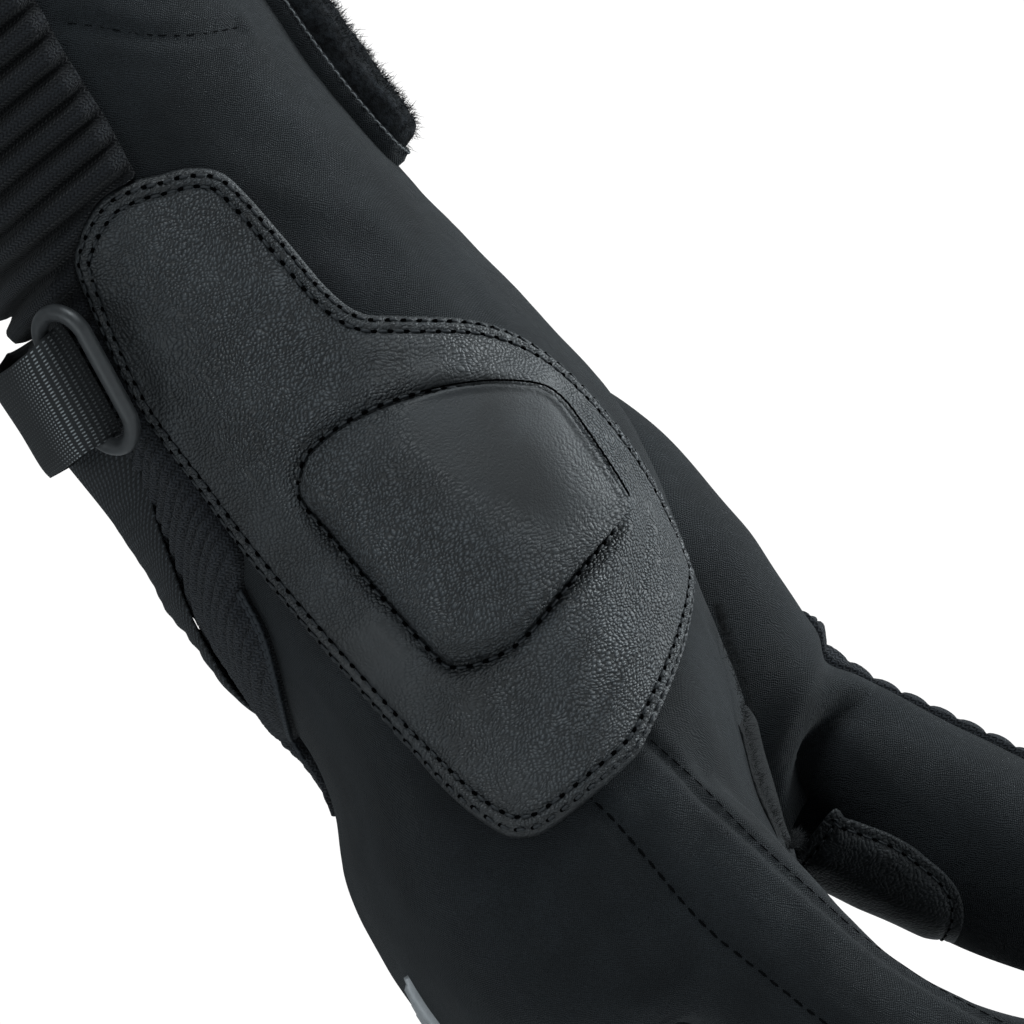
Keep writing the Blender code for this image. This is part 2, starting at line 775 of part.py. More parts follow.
def make_closure_tab():
    """The cuff's closing flap on the palm side, and the hook-and-loop pile on it."""
    tab = sewn_layer("closure_tab", CLOSURE_TAB, "palm", GAP, TAB, (0.014, 0.015, 0.016), 0.8)
    shrink = 1 - 2 * PILE_INSET / TAB_LENGTH
    middle = sum(across for across, _ in CLOSURE_TAB) / len(CLOSURE_TAB)
    centre = sum(along for _, along in CLOSURE_TAB) / len(CLOSURE_TAB)
    inner = [
        (middle + (across - middle) * shrink, centre + (along - centre) * shrink)
        for across, along in CLOSURE_TAB
    ]
    sewn_layer("loop_pile", inner, "palm", GAP + TAB + GAP, PILE, (0.01, 0.011, 0.012), 0.95)
    return tab


def make_reflector():
    return sewn_layer(
        "reflective_insert", REFLECTOR_OUTLINE, "back", GAP, REFLECTOR, (0.35, 0.36, 0.37), 0.5
    )


def make_cuff_binding():
    """The tape sewn round the cuff's opening."""
    low = GAP + RIBBED + GAP
    rings = []
    for z, offset in (
        (BINDING_WIDTH / 8, low),
        (BINDING_WIDTH / 8, low + BINDING),
        (-BINDING_WIDTH, low + BINDING),
        (-BINDING_WIDTH, low),
    ):
        ring = [hand_point(360 * k / SIDES, min(z, 0.0), offset) for k in range(SIDES)]
        for point in ring:
            point.z = z
        rings.append(ring)
    return finish("cuff_binding", skin(rings, closed_loop=True), (0.012, 0.013, 0.014), 0.8)


def main():
    for obj in list(bpy.data.objects):
        bpy.data.objects.remove(obj)
    hand = make_hand_shell()
    make_thumb_shell(hand)
    make_heel_patch()
    make_slider_pad()
    make_wrist_accordion()
    thumb = thumb_stations()
    make_palm_panel(thumb)
    make_thumb_accordion(thumb)
    make_thumb_patch(thumb)
    make_oval_ring()
    make_wrist_strap()
    make_back_strap()
    make_closure_tab()
    make_reflector()
    make_cuff_binding()


main()
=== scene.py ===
"""A left winter motorcycle glove in its worn shape, dressed around its solids.

The fingers point down, the palm faces +X, and the little finger's side faces the camera at -Y.
The script follows the glove as it is sewn: shell and leather, thumb and lining, ribs, straps and trim.
"""

import math

import bmesh
import bpy
import numpy as np
from mathutils import Matrix, Vector, geometry, noise
from mathutils.bvhtree import BVHTree


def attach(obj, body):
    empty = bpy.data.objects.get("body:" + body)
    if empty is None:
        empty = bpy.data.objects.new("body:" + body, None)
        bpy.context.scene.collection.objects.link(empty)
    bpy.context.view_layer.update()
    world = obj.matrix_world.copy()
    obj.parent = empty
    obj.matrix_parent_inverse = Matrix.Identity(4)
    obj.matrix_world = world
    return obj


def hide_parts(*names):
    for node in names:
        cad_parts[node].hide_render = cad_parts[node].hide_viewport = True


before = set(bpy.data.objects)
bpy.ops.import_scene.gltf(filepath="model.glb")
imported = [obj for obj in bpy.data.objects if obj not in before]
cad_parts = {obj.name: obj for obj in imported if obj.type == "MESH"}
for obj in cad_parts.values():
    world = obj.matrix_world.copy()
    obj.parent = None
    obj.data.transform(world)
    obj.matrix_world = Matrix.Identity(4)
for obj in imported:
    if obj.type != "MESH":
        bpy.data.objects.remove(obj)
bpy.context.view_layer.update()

# The studio: a long lens looks straight at the little finger's side, rolled so that the glove runs
# from the upper left to the lower right, over a white floor. A soft light hangs above, another stands
# to the right and behind for the bright edge, and a weak one fills from the left.
LENS = 500.0
SENSOR = 36.0
PICTURE_WIDTH = 0.128
PICTURE_MIDDLE = (0.0127, -0.035, -0.106)
ROLL = math.radians(38.5)
FLOOR_HEIGHT = -0.300
FLOOR_RADIUS = 1.6

distance = PICTURE_WIDTH * LENS / SENSOR
camera_data = bpy.data.cameras.new("camera")
camera_data.lens = LENS
camera_data.sensor_width = SENSOR
camera_data.clip_end = 20.0
camera = bpy.data.objects.new("camera", camera_data)
bpy.context.scene.collection.objects.link(camera)
rolled = Matrix.Rotation(ROLL, 3, "Y") @ Matrix.Rotation(math.pi / 2, 3, "X")
camera.rotation_euler = rolled.to_euler()
camera.location = Vector(PICTURE_MIDDLE) - Vector((0, distance, 0))
bpy.context.scene.camera = camera
bpy.context.scene.view_settings.view_transform = "Standard"

world = bpy.data.worlds.new("white_room")
bpy.context.scene.world = world
world.use_nodes = True
room = world.node_tree
background = room.nodes["Background"]
background.inputs["Color"].default_value = (1, 1, 1, 1)
background.inputs["Strength"].default_value = 1.05
dim = room.nodes.new("ShaderNodeBackground")
dim.inputs["Color"].default_value = (0.86, 0.95, 1.0, 1)
dim.inputs["Strength"].default_value = 0.26
seen = room.nodes.new("ShaderNodeLightPath")
pick = room.nodes.new("ShaderNodeMixShader")
room.links.new(seen.outputs["Is Camera Ray"], pick.inputs["Fac"])
room.links.new(dim.outputs[0], pick.inputs[1])
room.links.new(background.outputs[0], pick.inputs[2])
room.links.new(pick.outputs[0], room.nodes["World Output"].inputs["Surface"])


def softbox(name, right, up, front, size, power):
    """A square soft light aimed at the glove, placed in the picture's directions, in metres."""
    data = bpy.data.lights.new(name, "AREA")
    data.shape = "SQUARE"
    data.size = size
    data.energy = power
    data.color = (0.88, 0.96, 1.0)
    light = bpy.data.objects.new(name, data)
    bpy.context.scene.collection.objects.link(light)
    to_right = Vector((math.cos(ROLL), 0, -math.sin(ROLL)))
    to_up = Vector((math.sin(ROLL), 0, math.cos(ROLL)))
    offset = to_right * right + to_up * up + Vector((0, -front, 0))
    light.location = Vector(PICTURE_MIDDLE) + offset
    light.rotation_euler = offset.to_track_quat("Z", "Y").to_euler()
    light.visible_camera = False


softbox("key_light", -0.05, 1.05, 0.36, 0.5, 8.0)
softbox("right_edge_light", 0.95, 0.50, -0.42, 0.5, 21.0)
softbox("left_fill_light", -0.85, -0.35, 0.75, 0.8, 4.5)

bpy.ops.object.select_all(action="DESELECT")
bpy.ops.mesh.primitive_circle_add(
    vertices=96, radius=FLOOR_RADIUS, fill_type="NGON", location=(0, 0, FLOOR_HEIGHT)
)
floor = bpy.context.object
floor.name = "floor"
floor_paint = bpy.data.materials.new("floor_paint")
floor_paint.use_nodes = True
floor_shader = floor_paint.node_tree.nodes["Principled BSDF"]
floor_shader.inputs["Base Color"].default_value = (0.92, 0.92, 0.92, 1)
floor_shader.inputs["Roughness"].default_value = 0.9
floor.data.materials.append(floor_paint)


# The shell: softshell, a matt, finely woven three-layer cloth, sewn into the hand and the four fingers
# and shaped by wear, with slack folds at the wrist and taut stretches at the knuckles. Here it is drawn
# over the hand's form, and its seams are sunk into it.
CUFF_LENGTH = 0.060
HAND_LENGTH = 0.109
HAND_THICKNESS = 0.060
HAND_BREADTH = 0.100
SQUARENESS = 0.84
SECTIONS = np.array(
    (
        # along, back, palm, little finger's side, thumb's side, as in the solid
        (-1.00, 0.440, 0.560, 0.425, 0.425),
        (-0.66, 0.395, 0.530, 0.405, 0.405),
        (-0.33, 0.355, 0.503, 0.388, 0.390),
        (0.00, 0.326, 0.490, 0.378, 0.384),
        (0.14, 0.362, 0.506, 0.392, 0.402),
        (0.28, 0.416, 0.530, 0.422, 0.440),
        (0.41, 0.442, 0.538, 0.452, 0.475),
        (0.49, 0.450, 0.510, 0.465, 0.487),
        (0.56, 0.482, 0.472, 0.476, 0.494),
        (0.64, 0.562, 0.426, 0.486, 0.498),
        (0.74, 0.602, 0.376, 0.495, 0.502),
        (0.83, 0.612, 0.304, 0.500, 0.506),
        (0.90, 0.596, 0.262, 0.498, 0.504),
        (0.96, 0.520, 0.216, 0.482, 0.488),
        (1.00, 0.400, 0.120, 0.440, 0.446),
    )
)
FINGERS = (
    # across, forward, lean, splay, length, width
    (-0.372, 0.010, 0.0, -3.0, 0.088, 0.0245),
    (-0.122, -0.330, 12.0, -1.0, 0.098, 0.0250),
    (0.134, -0.370, 14.0, 1.0, 0.104, 0.0250),
    (0.386, -0.340, 12.0, 3.0, 0.097, 0.0250),
)
FINGER_START = 0.74
CURL = np.array(
    (
        # along, bend, girth
        (0.00, 3.0, 0.80),
        (0.14, 3.0, 0.96),
        (0.28, 5.0, 1.00),
        (0.42, 9.0, 0.98),
        (0.56, 24.0, 0.98),
        (0.70, 38.0, 0.95),
        (0.84, 47.0, 0.92),
        (1.00, 53.0, 0.86),
    )
)
LINE_STEPS = 96
ROUND_TIP = 0.0085
TIP_ROWS = 9
SHELL_SIDES = 200
SHELL_ROW = 0.0013
FINGER_SIDES = 56
FINGER_ROWS = 64
SHELL_GRAIN = 0.0010
SHELL_TOP = -0.0004
SEAM_DEPTH = 0.00055
SEAM_WIDTH = 0.0009
SEAM_STITCH = 0.0019
WEAVE_PITCH = 0.36


def read_table(rows, along):
    """The columns of a table at these places, on smooth curves through its rows."""
    along = np.clip(along, rows[0, 0], rows[-1, 0])
    i = np.clip(np.searchsorted(rows[:, 0], along, side="right") - 1, 0, len(rows) - 2)
    before, a, b = rows[np.maximum(i - 1, 0)], rows[i], rows[i + 1]
    after = rows[np.minimum(i + 2, len(rows) - 1)]
    span = (b[:, :1] - a[:, :1])
    t = (along[:, None] - a[:, :1]) / span
    start = (b - before) / (b[:, :1] - before[:, :1]) * span
    end = (after - a) / (after[:, :1] - a[:, :1]) * span
    found = (2 * t**3 - 3 * t**2 + 1) * a + (t**3 - 2 * t**2 + t) * start
    found += (3 * t**2 - 2 * t**3) * b + (t**3 - t**2) * end
    return found[:, 1:]


def sections(z):
    """The middle of the hand and its half sizes, forward and across, at these heights."""
    along = np.where(z > -CUFF_LENGTH, -(z + CUFF_LENGTH) / CUFF_LENGTH, -(z + CUFF_LENGTH) / HAND_LENGTH)
    back, palm, little, thumb = read_table(SECTIONS, along).T
    forward = (palm - back) / 2 * HAND_THICKNESS, (palm + back) / 2 * HAND_THICKNESS
    across = (thumb - little) / 2 * HAND_BREADTH, (thumb + little) / 2 * HAND_BREADTH
    return forward[0], across[0], forward[1], across[1]


def unit(vectors):
    return vectors / np.linalg.norm(vectors, axis=-1, keepdims=True)


def travelled(line):
    """How far each point of a line is along it."""
    return np.concatenate([[0], np.cumsum(np.linalg.norm(np.diff(line, axis=0), axis=1))])


def between(at, known, rows):
    """Rows of values at these places between known ones."""
    return np.stack([np.interp(at, known, column) for column in rows.T], axis=-1)


def signed_power(value, exponent):
    return np.sign(value) * np.abs(value) ** exponent


def off_square(x, y, z):
    """Less than 0 inside the hand's form and more than 0 outside it."""
    middle_x, middle_y, half_x, half_y = sections(z)
    power = 2 / SQUARENESS
    return np.abs((x - middle_x) / half_x) ** power + np.abs((y - middle_y) / half_y) ** power - 1


def hand_surface(angle, z, lift=0.0):
    """Points lifted off the hand: the angle is 0 at the palm, 180 at the back, 270 at the little finger."""
    angle, z, lift = np.broadcast_arrays(np.radians(angle), z, lift)
    shape = angle.shape
    angle, z, lift = angle.ravel(), z.ravel().astype(float), lift.ravel()
    middle_x, middle_y, half_x, half_y = sections(z)
    x = middle_x + half_x * signed_power(np.cos(angle), SQUARENESS)
    y = middle_y + half_y * signed_power(np.sin(angle), SQUARENESS)
    step = 2e-4
    power = 2 / SQUARENESS - 1
    slope_x = signed_power((x - middle_x) / half_x, power) / half_x * 2 / SQUARENESS
    slope_y = signed_power((y - middle_y) / half_y, power) / half_y * 2 / SQUARENESS
    slope_z = (off_square(x, y, z + step) - off_square(x, y, z - step)) / (2 * step)
    out = unit(np.stack([slope_x, slope_y, slope_z], axis=1))
    return (np.stack([x, y, z], axis=1) + out * lift[:, None]).reshape(*shape, 3)


def finger_line(start, length, table, lean=0.0, splay=None):
    """Points, directions and girths along a finger's middle line."""
    along = np.linspace(0, 1, LINE_STEPS + 1)
    columns = read_table(table, along)
    bend = np.radians(columns[:, 0] + lean)
    side = np.radians(columns[:, 1] if splay is None else np.full(len(along), float(splay)))
    run = np.stack([np.sin(bend) * np.cos(side), np.sin(side), -np.cos(bend) * np.cos(side)], axis=1)
    points = np.array(start) + np.vstack([np.zeros(3), np.cumsum(run[:-1], axis=0)]) * length / LINE_STEPS
    return points, run, columns[:, -1]


def finger_frame(line, along):
    """A finger's middle at these places along it, and the ways ahead, palmward and sideways there."""
    points, run, _ = line
    known = np.linspace(0, 1, len(points))
    ahead = unit(between(along, known, run))
    palmward = unit(np.cross((0.0, 1.0, 0.0), -ahead))
    return between(along, known, points), ahead, palmward, -np.cross(ahead, palmward)


def finger_rings(line, width, sides, rows):
    """Rings of points round a finger, closing in a round tip."""
    points, _, girth = line
    body = 1 - ROUND_TIP / travelled(points)[-1]
    along = np.concatenate([np.linspace(0, body, rows), np.full(TIP_ROWS, body)])
    turn = np.concatenate([np.zeros(rows), np.radians(np.linspace(8, 86, TIP_ROWS))])
    at, ahead, palmward, sideways = finger_frame(line, along)
    radius = np.interp(along, np.linspace(0, 1, len(points)), girth) * width / 2
    angle = np.linspace(0, 2 * np.pi, sides, endpoint=False)
    centre = at + ahead * (np.sin(turn) * ROUND_TIP)[:, None]
    reach = (radius * np.cos(turn))[:, None, None]
    out = palmward[:, None] * np.cos(angle)[None, :, None] + sideways[:, None] * np.sin(angle)[None, :, None]
    return centre[:, None] + out * reach


def ring_faces(rows, sides, first=0):
    """Quads between rings of points, whose numbers start at first."""
    k = np.arange(sides)
    after = (k + 1) % sides
    faces = []
    for row in range(rows - 1):
        a = first + row * sides
        faces += np.stack([a + k, a + after, a + sides + after, a + sides + k], axis=1).tolist()
    return faces


def closed_tube(rings):
    """Points and faces of a tube through rings of points, with both ends closed."""
    rows, sides = rings.shape[:2]
    faces = ring_faces(rows, sides)
    faces.append(list(range(sides))[::-1])
    faces.append([(rows - 1) * sides + k for k in range(sides)])
    return rings.reshape(-1, 3), faces


def new_piece(name, points, faces):
    """A piece of the glove from its points and faces, with its faces out and shaded smooth."""
    mesh = bpy.data.meshes.new(name)
    mesh.from_pydata(np.asarray(points).tolist(), [], faces)
    bm = bmesh.new()
    bm.from_mesh(mesh)
    bmesh.ops.recalc_face_normals(bm, faces=bm.faces)
    bm.to_mesh(mesh)
    bm.free()
    mesh.shade_smooth()
    piece = bpy.data.objects.new(name, mesh)
    bpy.context.scene.collection.objects.link(piece)
    return piece


def apply_modifiers(piece):
    bpy.ops.object.select_all(action="DESELECT")
    bpy.context.view_layer.objects.active = piece
    piece.select_set(True)
    for modifier in list(piece.modifiers):
        bpy.ops.object.modifier_apply(modifier=modifier.name)


def get_points(piece):
    points = np.empty(len(piece.data.vertices) * 3, np.float32)
    piece.data.vertices.foreach_get("co", points)
    return points.reshape(-1, 3).astype(float)


def set_points(piece, points):
    piece.data.vertices.foreach_set("co", np.asarray(points, np.float32).ravel())
    piece.data.update()


def get_normals(piece):
    normals = np.empty(len(piece.data.vertices) * 3, np.float32)
    piece.data.vertices.foreach_get("normal", normals)
    return normals.reshape(-1, 3).astype(float)


def waviness(points, size, seed):
    """Soft random hills between about -1 and 1, this far apart, at points in space or on a flat sheet."""
    shift = Vector((seed, 2.3 * seed, -1.7 * seed))
    return np.array([noise.fractal(Vector(p).to_3d() / size + shift, 1.0, 2.0, 2) for p in points])


def near_line(points, line):
    """Each point's distance from a line of points, and where along the line it is nearest, from 0 to 1."""
    line = np.asarray(line, float)
    best = np.full(len(points), 1e9)
    place = np.zeros(len(points))
    for i, (a, b) in enumerate(zip(line, line[1:])):
        run = b - a
        t = np.clip(((points - a) @ run) / max(run @ run, 1e-18), 0, 1)
        gap = np.linalg.norm(points - a - t[:, None] * run, axis=1)
        closer = gap < best
        best = np.where(closer, gap, best)
        place = np.where(closer, (i + t) / (len(line) - 1), place)
    return best, place


def new_material(name):
    """A material, its node tree and a vector in millimetres on the piece."""
    material = bpy.data.materials.new(name)
    material.use_nodes = True
    tree = material.node_tree
    place = tree.nodes.new("ShaderNodeTexCoord")
    scale = tree.nodes.new("ShaderNodeMapping")
    scale.inputs["Scale"].default_value = (1000, 1000, 1000)
    tree.links.new(place.outputs["Object"], scale.inputs["Vector"])
    return material, tree, scale.outputs["Vector"]


def finish(tree, colour, bump, roughness, specular=0.5, sheen=0.0, sheen_roughness=0.5):
    """Gives the shader its colour, its bump where there is one, and how matt, glossy and downy it is."""
    shader = tree.nodes["Principled BSDF"]
    tree.links.new(colour, shader.inputs["Base Color"])
    if bump is not None:
        tree.links.new(bump, shader.inputs["Normal"])
    if isinstance(roughness, float):
        shader.inputs["Roughness"].default_value = roughness
    else:
        tree.links.new(roughness, shader.inputs["Roughness"])
    shader.inputs["Specular IOR Level"].default_value = specular
    shader.inputs["Sheen Weight"].default_value = sheen
    shader.inputs["Sheen Roughness"].default_value = sheen_roughness


def add_math(tree, operation, a, b=None, clamp=False):
    """A Math node's output. Each input is a socket or a number."""
    node = tree.nodes.new("ShaderNodeMath")
    node.operation = operation
    node.use_clamp = clamp
    for socket, value in zip(node.inputs, (a, b)):
        if value is None:
            continue
        if isinstance(value, (int, float)):
            socket.default_value = value
        else:
            tree.links.new(value, socket)
    return node.outputs[0]


def plus(tree, a, b):
    return add_math(tree, "ADD", a, b)


def times(tree, a, b):
    return add_math(tree, "MULTIPLY", a, b)


def wave(tree, value, pitch, shape="SINE"):
    """A wave between -1 and 1 that repeats at this pitch along a value."""
    return add_math(tree, shape, times(tree, value, 2 * math.pi / pitch))


def add_noise(tree, vector, scale, detail, roughness):
    node = tree.nodes.new("ShaderNodeTexNoise")
    node.inputs["Scale"].default_value = scale
    node.inputs["Detail"].default_value = detail
    node.inputs["Roughness"].default_value = roughness
    tree.links.new(vector, node.inputs["Vector"])
    return node.outputs["Fac"]


def add_range(tree, value, low, high, to_low, to_high):
    """A value between two limits moved to between two others."""
    node = tree.nodes.new("ShaderNodeMapRange")
    tree.links.new(value, node.inputs["Value"])
    for name, number in (("From Min", low), ("From Max", high), ("To Min", to_low), ("To Max", to_high)):
        node.inputs[name].default_value = number
    return node.outputs["Result"]


def add_tint(tree, factor, dark, light):
    """A colour between a dark and a light one."""
    node = tree.nodes.new("ShaderNodeMix")
    node.data_type = "RGBA"
    tree.links.new(factor, node.inputs["Factor"])
    node.inputs["A"].default_value = (*dark, 1)
    node.inputs["B"].default_value = (*light, 1)
    return node.outputs["Result"]


def add_bump(tree, height, depth):
    """A bump of this depth in metres."""
    node = tree.nodes.new("ShaderNodeBump")
    node.inputs["Strength"].default_value = 1.0
    node.inputs["Distance"].default_value = depth
    tree.links.new(height, node.inputs["Height"])
    return node.outputs["Normal"]


def flat_place(tree, vector):
    """Millimetres across a surface, read from whichever of two axes it faces less, and down it."""
    split = tree.nodes.new("ShaderNodeSeparateXYZ")
    tree.links.new(vector, split.inputs[0])
    skin = tree.nodes.new("ShaderNodeNewGeometry")
    facing = tree.nodes.new("ShaderNodeSeparateXYZ")
    tree.links.new(skin.outputs["True Normal"], facing.inputs[0])
    to_x = add_math(tree, "ABSOLUTE", facing.outputs["X"])
    to_y = add_math(tree, "ABSOLUTE", facing.outputs["Y"])
    sideways = add_math(tree, "GREATER_THAN", to_x, to_y)
    keep = add_math(tree, "SUBTRACT", 1.0, sideways)
    across = plus(tree, times(tree, split.outputs["X"], keep), times(tree, split.outputs["Y"], sideways))
    return across, split.outputs["Z"]


def make_softshell():
    """Softshell: a plain weave that repeats every 0.36 mm, uneven threads, a little sheen and faint lint."""
    material, tree, vector = new_material("softshell")
    across, down = flat_place(tree, vector)
    sway = add_noise(tree, vector, 0.5, 2.0, 0.5)
    warp = wave(tree, plus(tree, across, sway), WEAVE_PITCH)
    weft = wave(tree, plus(tree, down, sway), WEAVE_PITCH)
    weave = times(tree, warp, weft)
    uneven = add_noise(tree, vector, 2.4, 4.0, 0.75)
    clouds = add_noise(tree, vector, 0.06, 4.0, 0.6)
    lint = add_range(tree, add_noise(tree, vector, 0.9, 5.0, 0.8), 0.66, 0.74, 0.0, 0.5)
    worn = add_range(tree, clouds, 0.35, 0.65, 0.25, 1.0)
    threads = add_range(tree, plus(tree, times(tree, weave, 0.28), uneven), 0.15, 0.85, 0, 1)
    lit = plus(tree, times(tree, threads, worn), lint)
    colour = add_tint(tree, lit, (0.0028, 0.0038, 0.0048), (0.0160, 0.0197, 0.0230))
    bump = add_bump(tree, plus(tree, times(tree, weave, 0.8), uneven), 0.00009)
    finish(tree, colour, bump, roughness=0.80, specular=0.20, sheen=0.05, sheen_roughness=0.4)
    return material


softshell = make_softshell()


def make_shell():
    heights = np.arange(0.004, -CUFF_LENGTH - HAND_LENGTH, -SHELL_ROW)
    angles = np.linspace(0, 360, SHELL_SIDES, endpoint=False)
    rings = hand_surface(angles[None, :], heights[:, None])
    rings[:, :, 2] = heights[:, None]
    points, faces = closed_tube(rings)
    for across, forward, lean, splay, length, width in FINGERS:
        knuckle = -CUFF_LENGTH - FINGER_START * HAND_LENGTH
        start = (forward * HAND_THICKNESS, across * HAND_BREADTH, knuckle)
        line = finger_line(start, length, CURL, lean, splay)
        more, more_faces = closed_tube(finger_rings(line, width, FINGER_SIDES, FINGER_ROWS))
        faces += [[k + len(points) for k in face] for face in more_faces]
        points = np.vstack([points, more])
    shell = new_piece("glove_shell", points, faces)
    merge = shell.modifiers.new("one_skin", "REMESH")
    merge.mode = "VOXEL"
    merge.voxel_size = SHELL_GRAIN
    relax = shell.modifiers.new("relax", "SMOOTH")
    relax.factor = 0.5
    relax.iterations = 7
    apply_modifiers(shell)
    bm = bmesh.new()
    bm.from_mesh(shell.data)
    cut = bm.verts[:] + bm.edges[:] + bm.faces[:]
    bmesh.ops.bisect_plane(bm, geom=cut, plane_co=(0, 0, SHELL_TOP), plane_no=(0, 0, 1), clear_outer=True)
    bm.to_mesh(shell.data)
    bm.free()
    shell.data.shade_smooth()
    return shell


shell = make_shell()


def seen_from_side(line):
    """Where a line that the camera sees, as forward and height, lies on the shell, and the ways out of it."""
    faces = [tuple(face.vertices) for face in shell.data.polygons]
    skin = BVHTree.FromPolygons(get_points(shell).tolist(), faces)
    points, out = [], []
    for x, z in line:
        place, normal, _, _ = skin.ray_cast(Vector((x, -0.2, z)), Vector((0, 1, 0)))
        if place is not None:
            points.append(place)
            out.append(normal)
    return np.array(points), np.array(out)


# The seams as the camera sees them, as forward and height, and their threads' thickness.
SEAMS = (
    ("side_seam_thread", 0.00036, (
        (-0.0020, -0.1385), (-0.0013, -0.1430), (-0.0010, -0.1490), (-0.0006, -0.1606), (0.0014, -0.1702),
        (0.0040, -0.1808), (0.0085, -0.1925), (0.0150, -0.2050), (0.0230, -0.2160),
    )),
    ("hem_seam_thread", 0.00018, (
        (0.0085, -0.1385), (0.0100, -0.1475), (0.0108, -0.1553), (0.0123, -0.1645), (0.0142, -0.1752),
        (0.0172, -0.1850), (0.0225, -0.1970),
    )),
    ("cuff_seam_thread", 0.00016, (
        (0.0070, -0.0235), (0.0101, -0.0266), (0.0135, -0.0304), (0.0184, -0.0343), (0.0240, -0.0372),
    )),
)
# Soft folds pulled into the cloth as seen from the side, with their depth and width in metres.
FOLDS = (
    (((-0.0160, -0.1480), (-0.0080, -0.1560), (0.0020, -0.1580)), 0.0009, 0.0035),
    (((-0.0200, -0.1300), (-0.0160, -0.1420), (-0.0080, -0.1520)), 0.0005, 0.0035),
    (((0.0080, -0.0500), (0.0160, -0.0640), (0.0230, -0.0720)), 0.0007, 0.0040),
    (((0.0100, -0.0400), (0.0200, -0.0560), (0.0280, -0.0660)), 0.0006, 0.0035),
    (((0.0150, -0.1420), (0.0080, -0.1500), (0.0020, -0.1530)), 0.0006, 0.0030),
    (((0.0120, -0.1640), (0.0060, -0.1700), (-0.0020, -0.1720)), 0.0006, 0.0035),
)


def curved_points(points, steps=10):
    """Points on a smooth curve through these, as many between any two."""
    points = np.asarray(points, float)
    rows = np.column_stack([np.linspace(0, 1, len(points)), points])
    return read_table(rows, np.linspace(0, 1, steps * (len(points) - 1) + 1))


def find_seams():
    """Each seam's points on the shell as it is now, and the ways out of it."""
    return [seen_from_side(curved_points(line)) for _, _, line in SEAMS]


def bell(distance, width):
    return np.exp(-((distance / width) ** 2))


def slacken(points, out):
    """The cloth sinks into soft hollows, folds and seams, never out of the hand's form."""
    sunk = 0.00034 * (1 + waviness(points * (1.0, 1.0, 0.7), 0.018, 1.3))
    sunk += 0.00012 * (1 + waviness(points, 0.006, 2.6))
    for line, depth, width in FOLDS:
        path, _ = seen_from_side(curved_points(line))
        away, place = near_line(points, path)
        sunk += depth * bell(away, width) * np.sin(np.pi * np.clip(place, 0, 1))
    for path, _ in find_seams():
        away, _ = near_line(points, path)
        sunk += SEAM_DEPTH * bell(away, SEAM_WIDTH) - 0.00018 * bell(away - 0.0024, 0.0012)
    return points - out * sunk[:, None]


set_points(shell, slacken(get_points(shell), get_normals(shell)))
shell.data.materials.append(softshell)
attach(shell, "root")
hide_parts("hand_shell")


def stitches(paths, pitch, thread, share=0.72, start=0.0):
    """Points and faces of stitches along lines, given as points and the directions out of the cloth."""
    u = np.array((-1.0, -0.82, -0.4, 0.4, 0.82, 1.0))
    wide = thread / 2 * np.array((0.2, 0.72, 1.0, 1.0, 0.72, 0.2))
    high = thread * np.array((-0.75, -0.2, 0.12, 0.12, -0.2, -0.75))
    turn = np.linspace(0, 2 * np.pi, 6, endpoint=False)
    found = []
    for path, out in paths:
        run = travelled(path)
        count = max(1, int(run[-1] / pitch))
        at = (np.arange(count) + 0.5 + start)[:, None] * run[-1] / count + u[None, :] * pitch * share / 2
        at = np.clip(at, 0, run[-1])
        centre, up = between(at, run, path), between(at, run, out)
        ahead = centre[:, -1:] - centre[:, :1]
        ahead = ahead / np.maximum(np.linalg.norm(ahead, axis=2, keepdims=True), 1e-9)
        ahead = np.broadcast_to(ahead, centre.shape)
        side = unit(np.cross(up, ahead))
        up = np.cross(ahead, side)
        centre = centre + up * high[None, :, None]
        around = side[:, :, None] * np.cos(turn)[:, None] + up[:, :, None] * np.sin(turn)[:, None]
        found.append(centre[:, :, None] + around * wide[None, :, None, None])
    rings = np.concatenate(found)
    sides = len(turn)
    each = len(u) * sides
    faces = []
    for first in range(0, len(rings) * each, each):
        last = first + each - sides
        faces += ring_faces(len(u), sides, first)
        faces += [[first + k for k in range(sides)], [last + k for k in range(sides)][::-1]]
    return rings.reshape(-1, 3), faces


def sewing(name, paths, pitch, thread, material, hole=None, share=0.72):
    """Stitches along lines as one piece. hole is the width of the needle hole at the ends of each, drawn as a
    black dot of painted shade.
    """
    points, faces = stitches(paths, pitch, thread, share)
    piece = new_piece(name, points, faces)
    piece.data.materials.append(material)
    if hole is not None:
        sunk = [(path - out * hole * 0.16, out) for path, out in paths]
        dots, more = stitches(sunk, pitch, hole, 0.46, start=0.5)
        piece.data.materials.append(painted_shade_black)
        bm = bmesh.new()
        bm.from_mesh(piece.data)
        made = [bm.verts.new(p) for p in dots]
        for face in more:
            bm.faces.new([made[k] for k in face]).material_index = 1
        bmesh.ops.recalc_face_normals(bm, faces=bm.faces)
        bm.to_mesh(piece.data)
        bm.free()
        piece.data.shade_smooth()
    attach(piece, "root")


def plain_black(name, colour, roughness, specular=0.3):
    material, tree, vector = new_material(name)
    uneven = add_noise(tree, vector, 2.5, 3.0, 0.6)
    dark, light = (tuple(share * c for c in colour) for share in (0.6, 1.4))
    finish(tree, add_tint(tree, uneven, dark, light), None, roughness, specular)
    return material


# Painted shade: a flat black for the needle holes and for the gap under the slider pad's folded edge.
painted_shade_black = plain_black("needle_hole_painted_shade", (0.0012, 0.0012, 0.0013), 1.0, 0.0)
thread_black = plain_black("thread_black", (0.012, 0.0142, 0.0165), 0.6, 0.35)
seam_black = plain_black("seam_black", (0.0016, 0.0018, 0.0021), 0.95, 0.05)
for (name, thread, _), (path, out) in zip(SEAMS, find_seams()):
    sunk_path = [(path - out * thread * 0.12, out)]
    sewing(name, sunk_path, SEAM_STITCH, thread, seam_black, share=0.95)


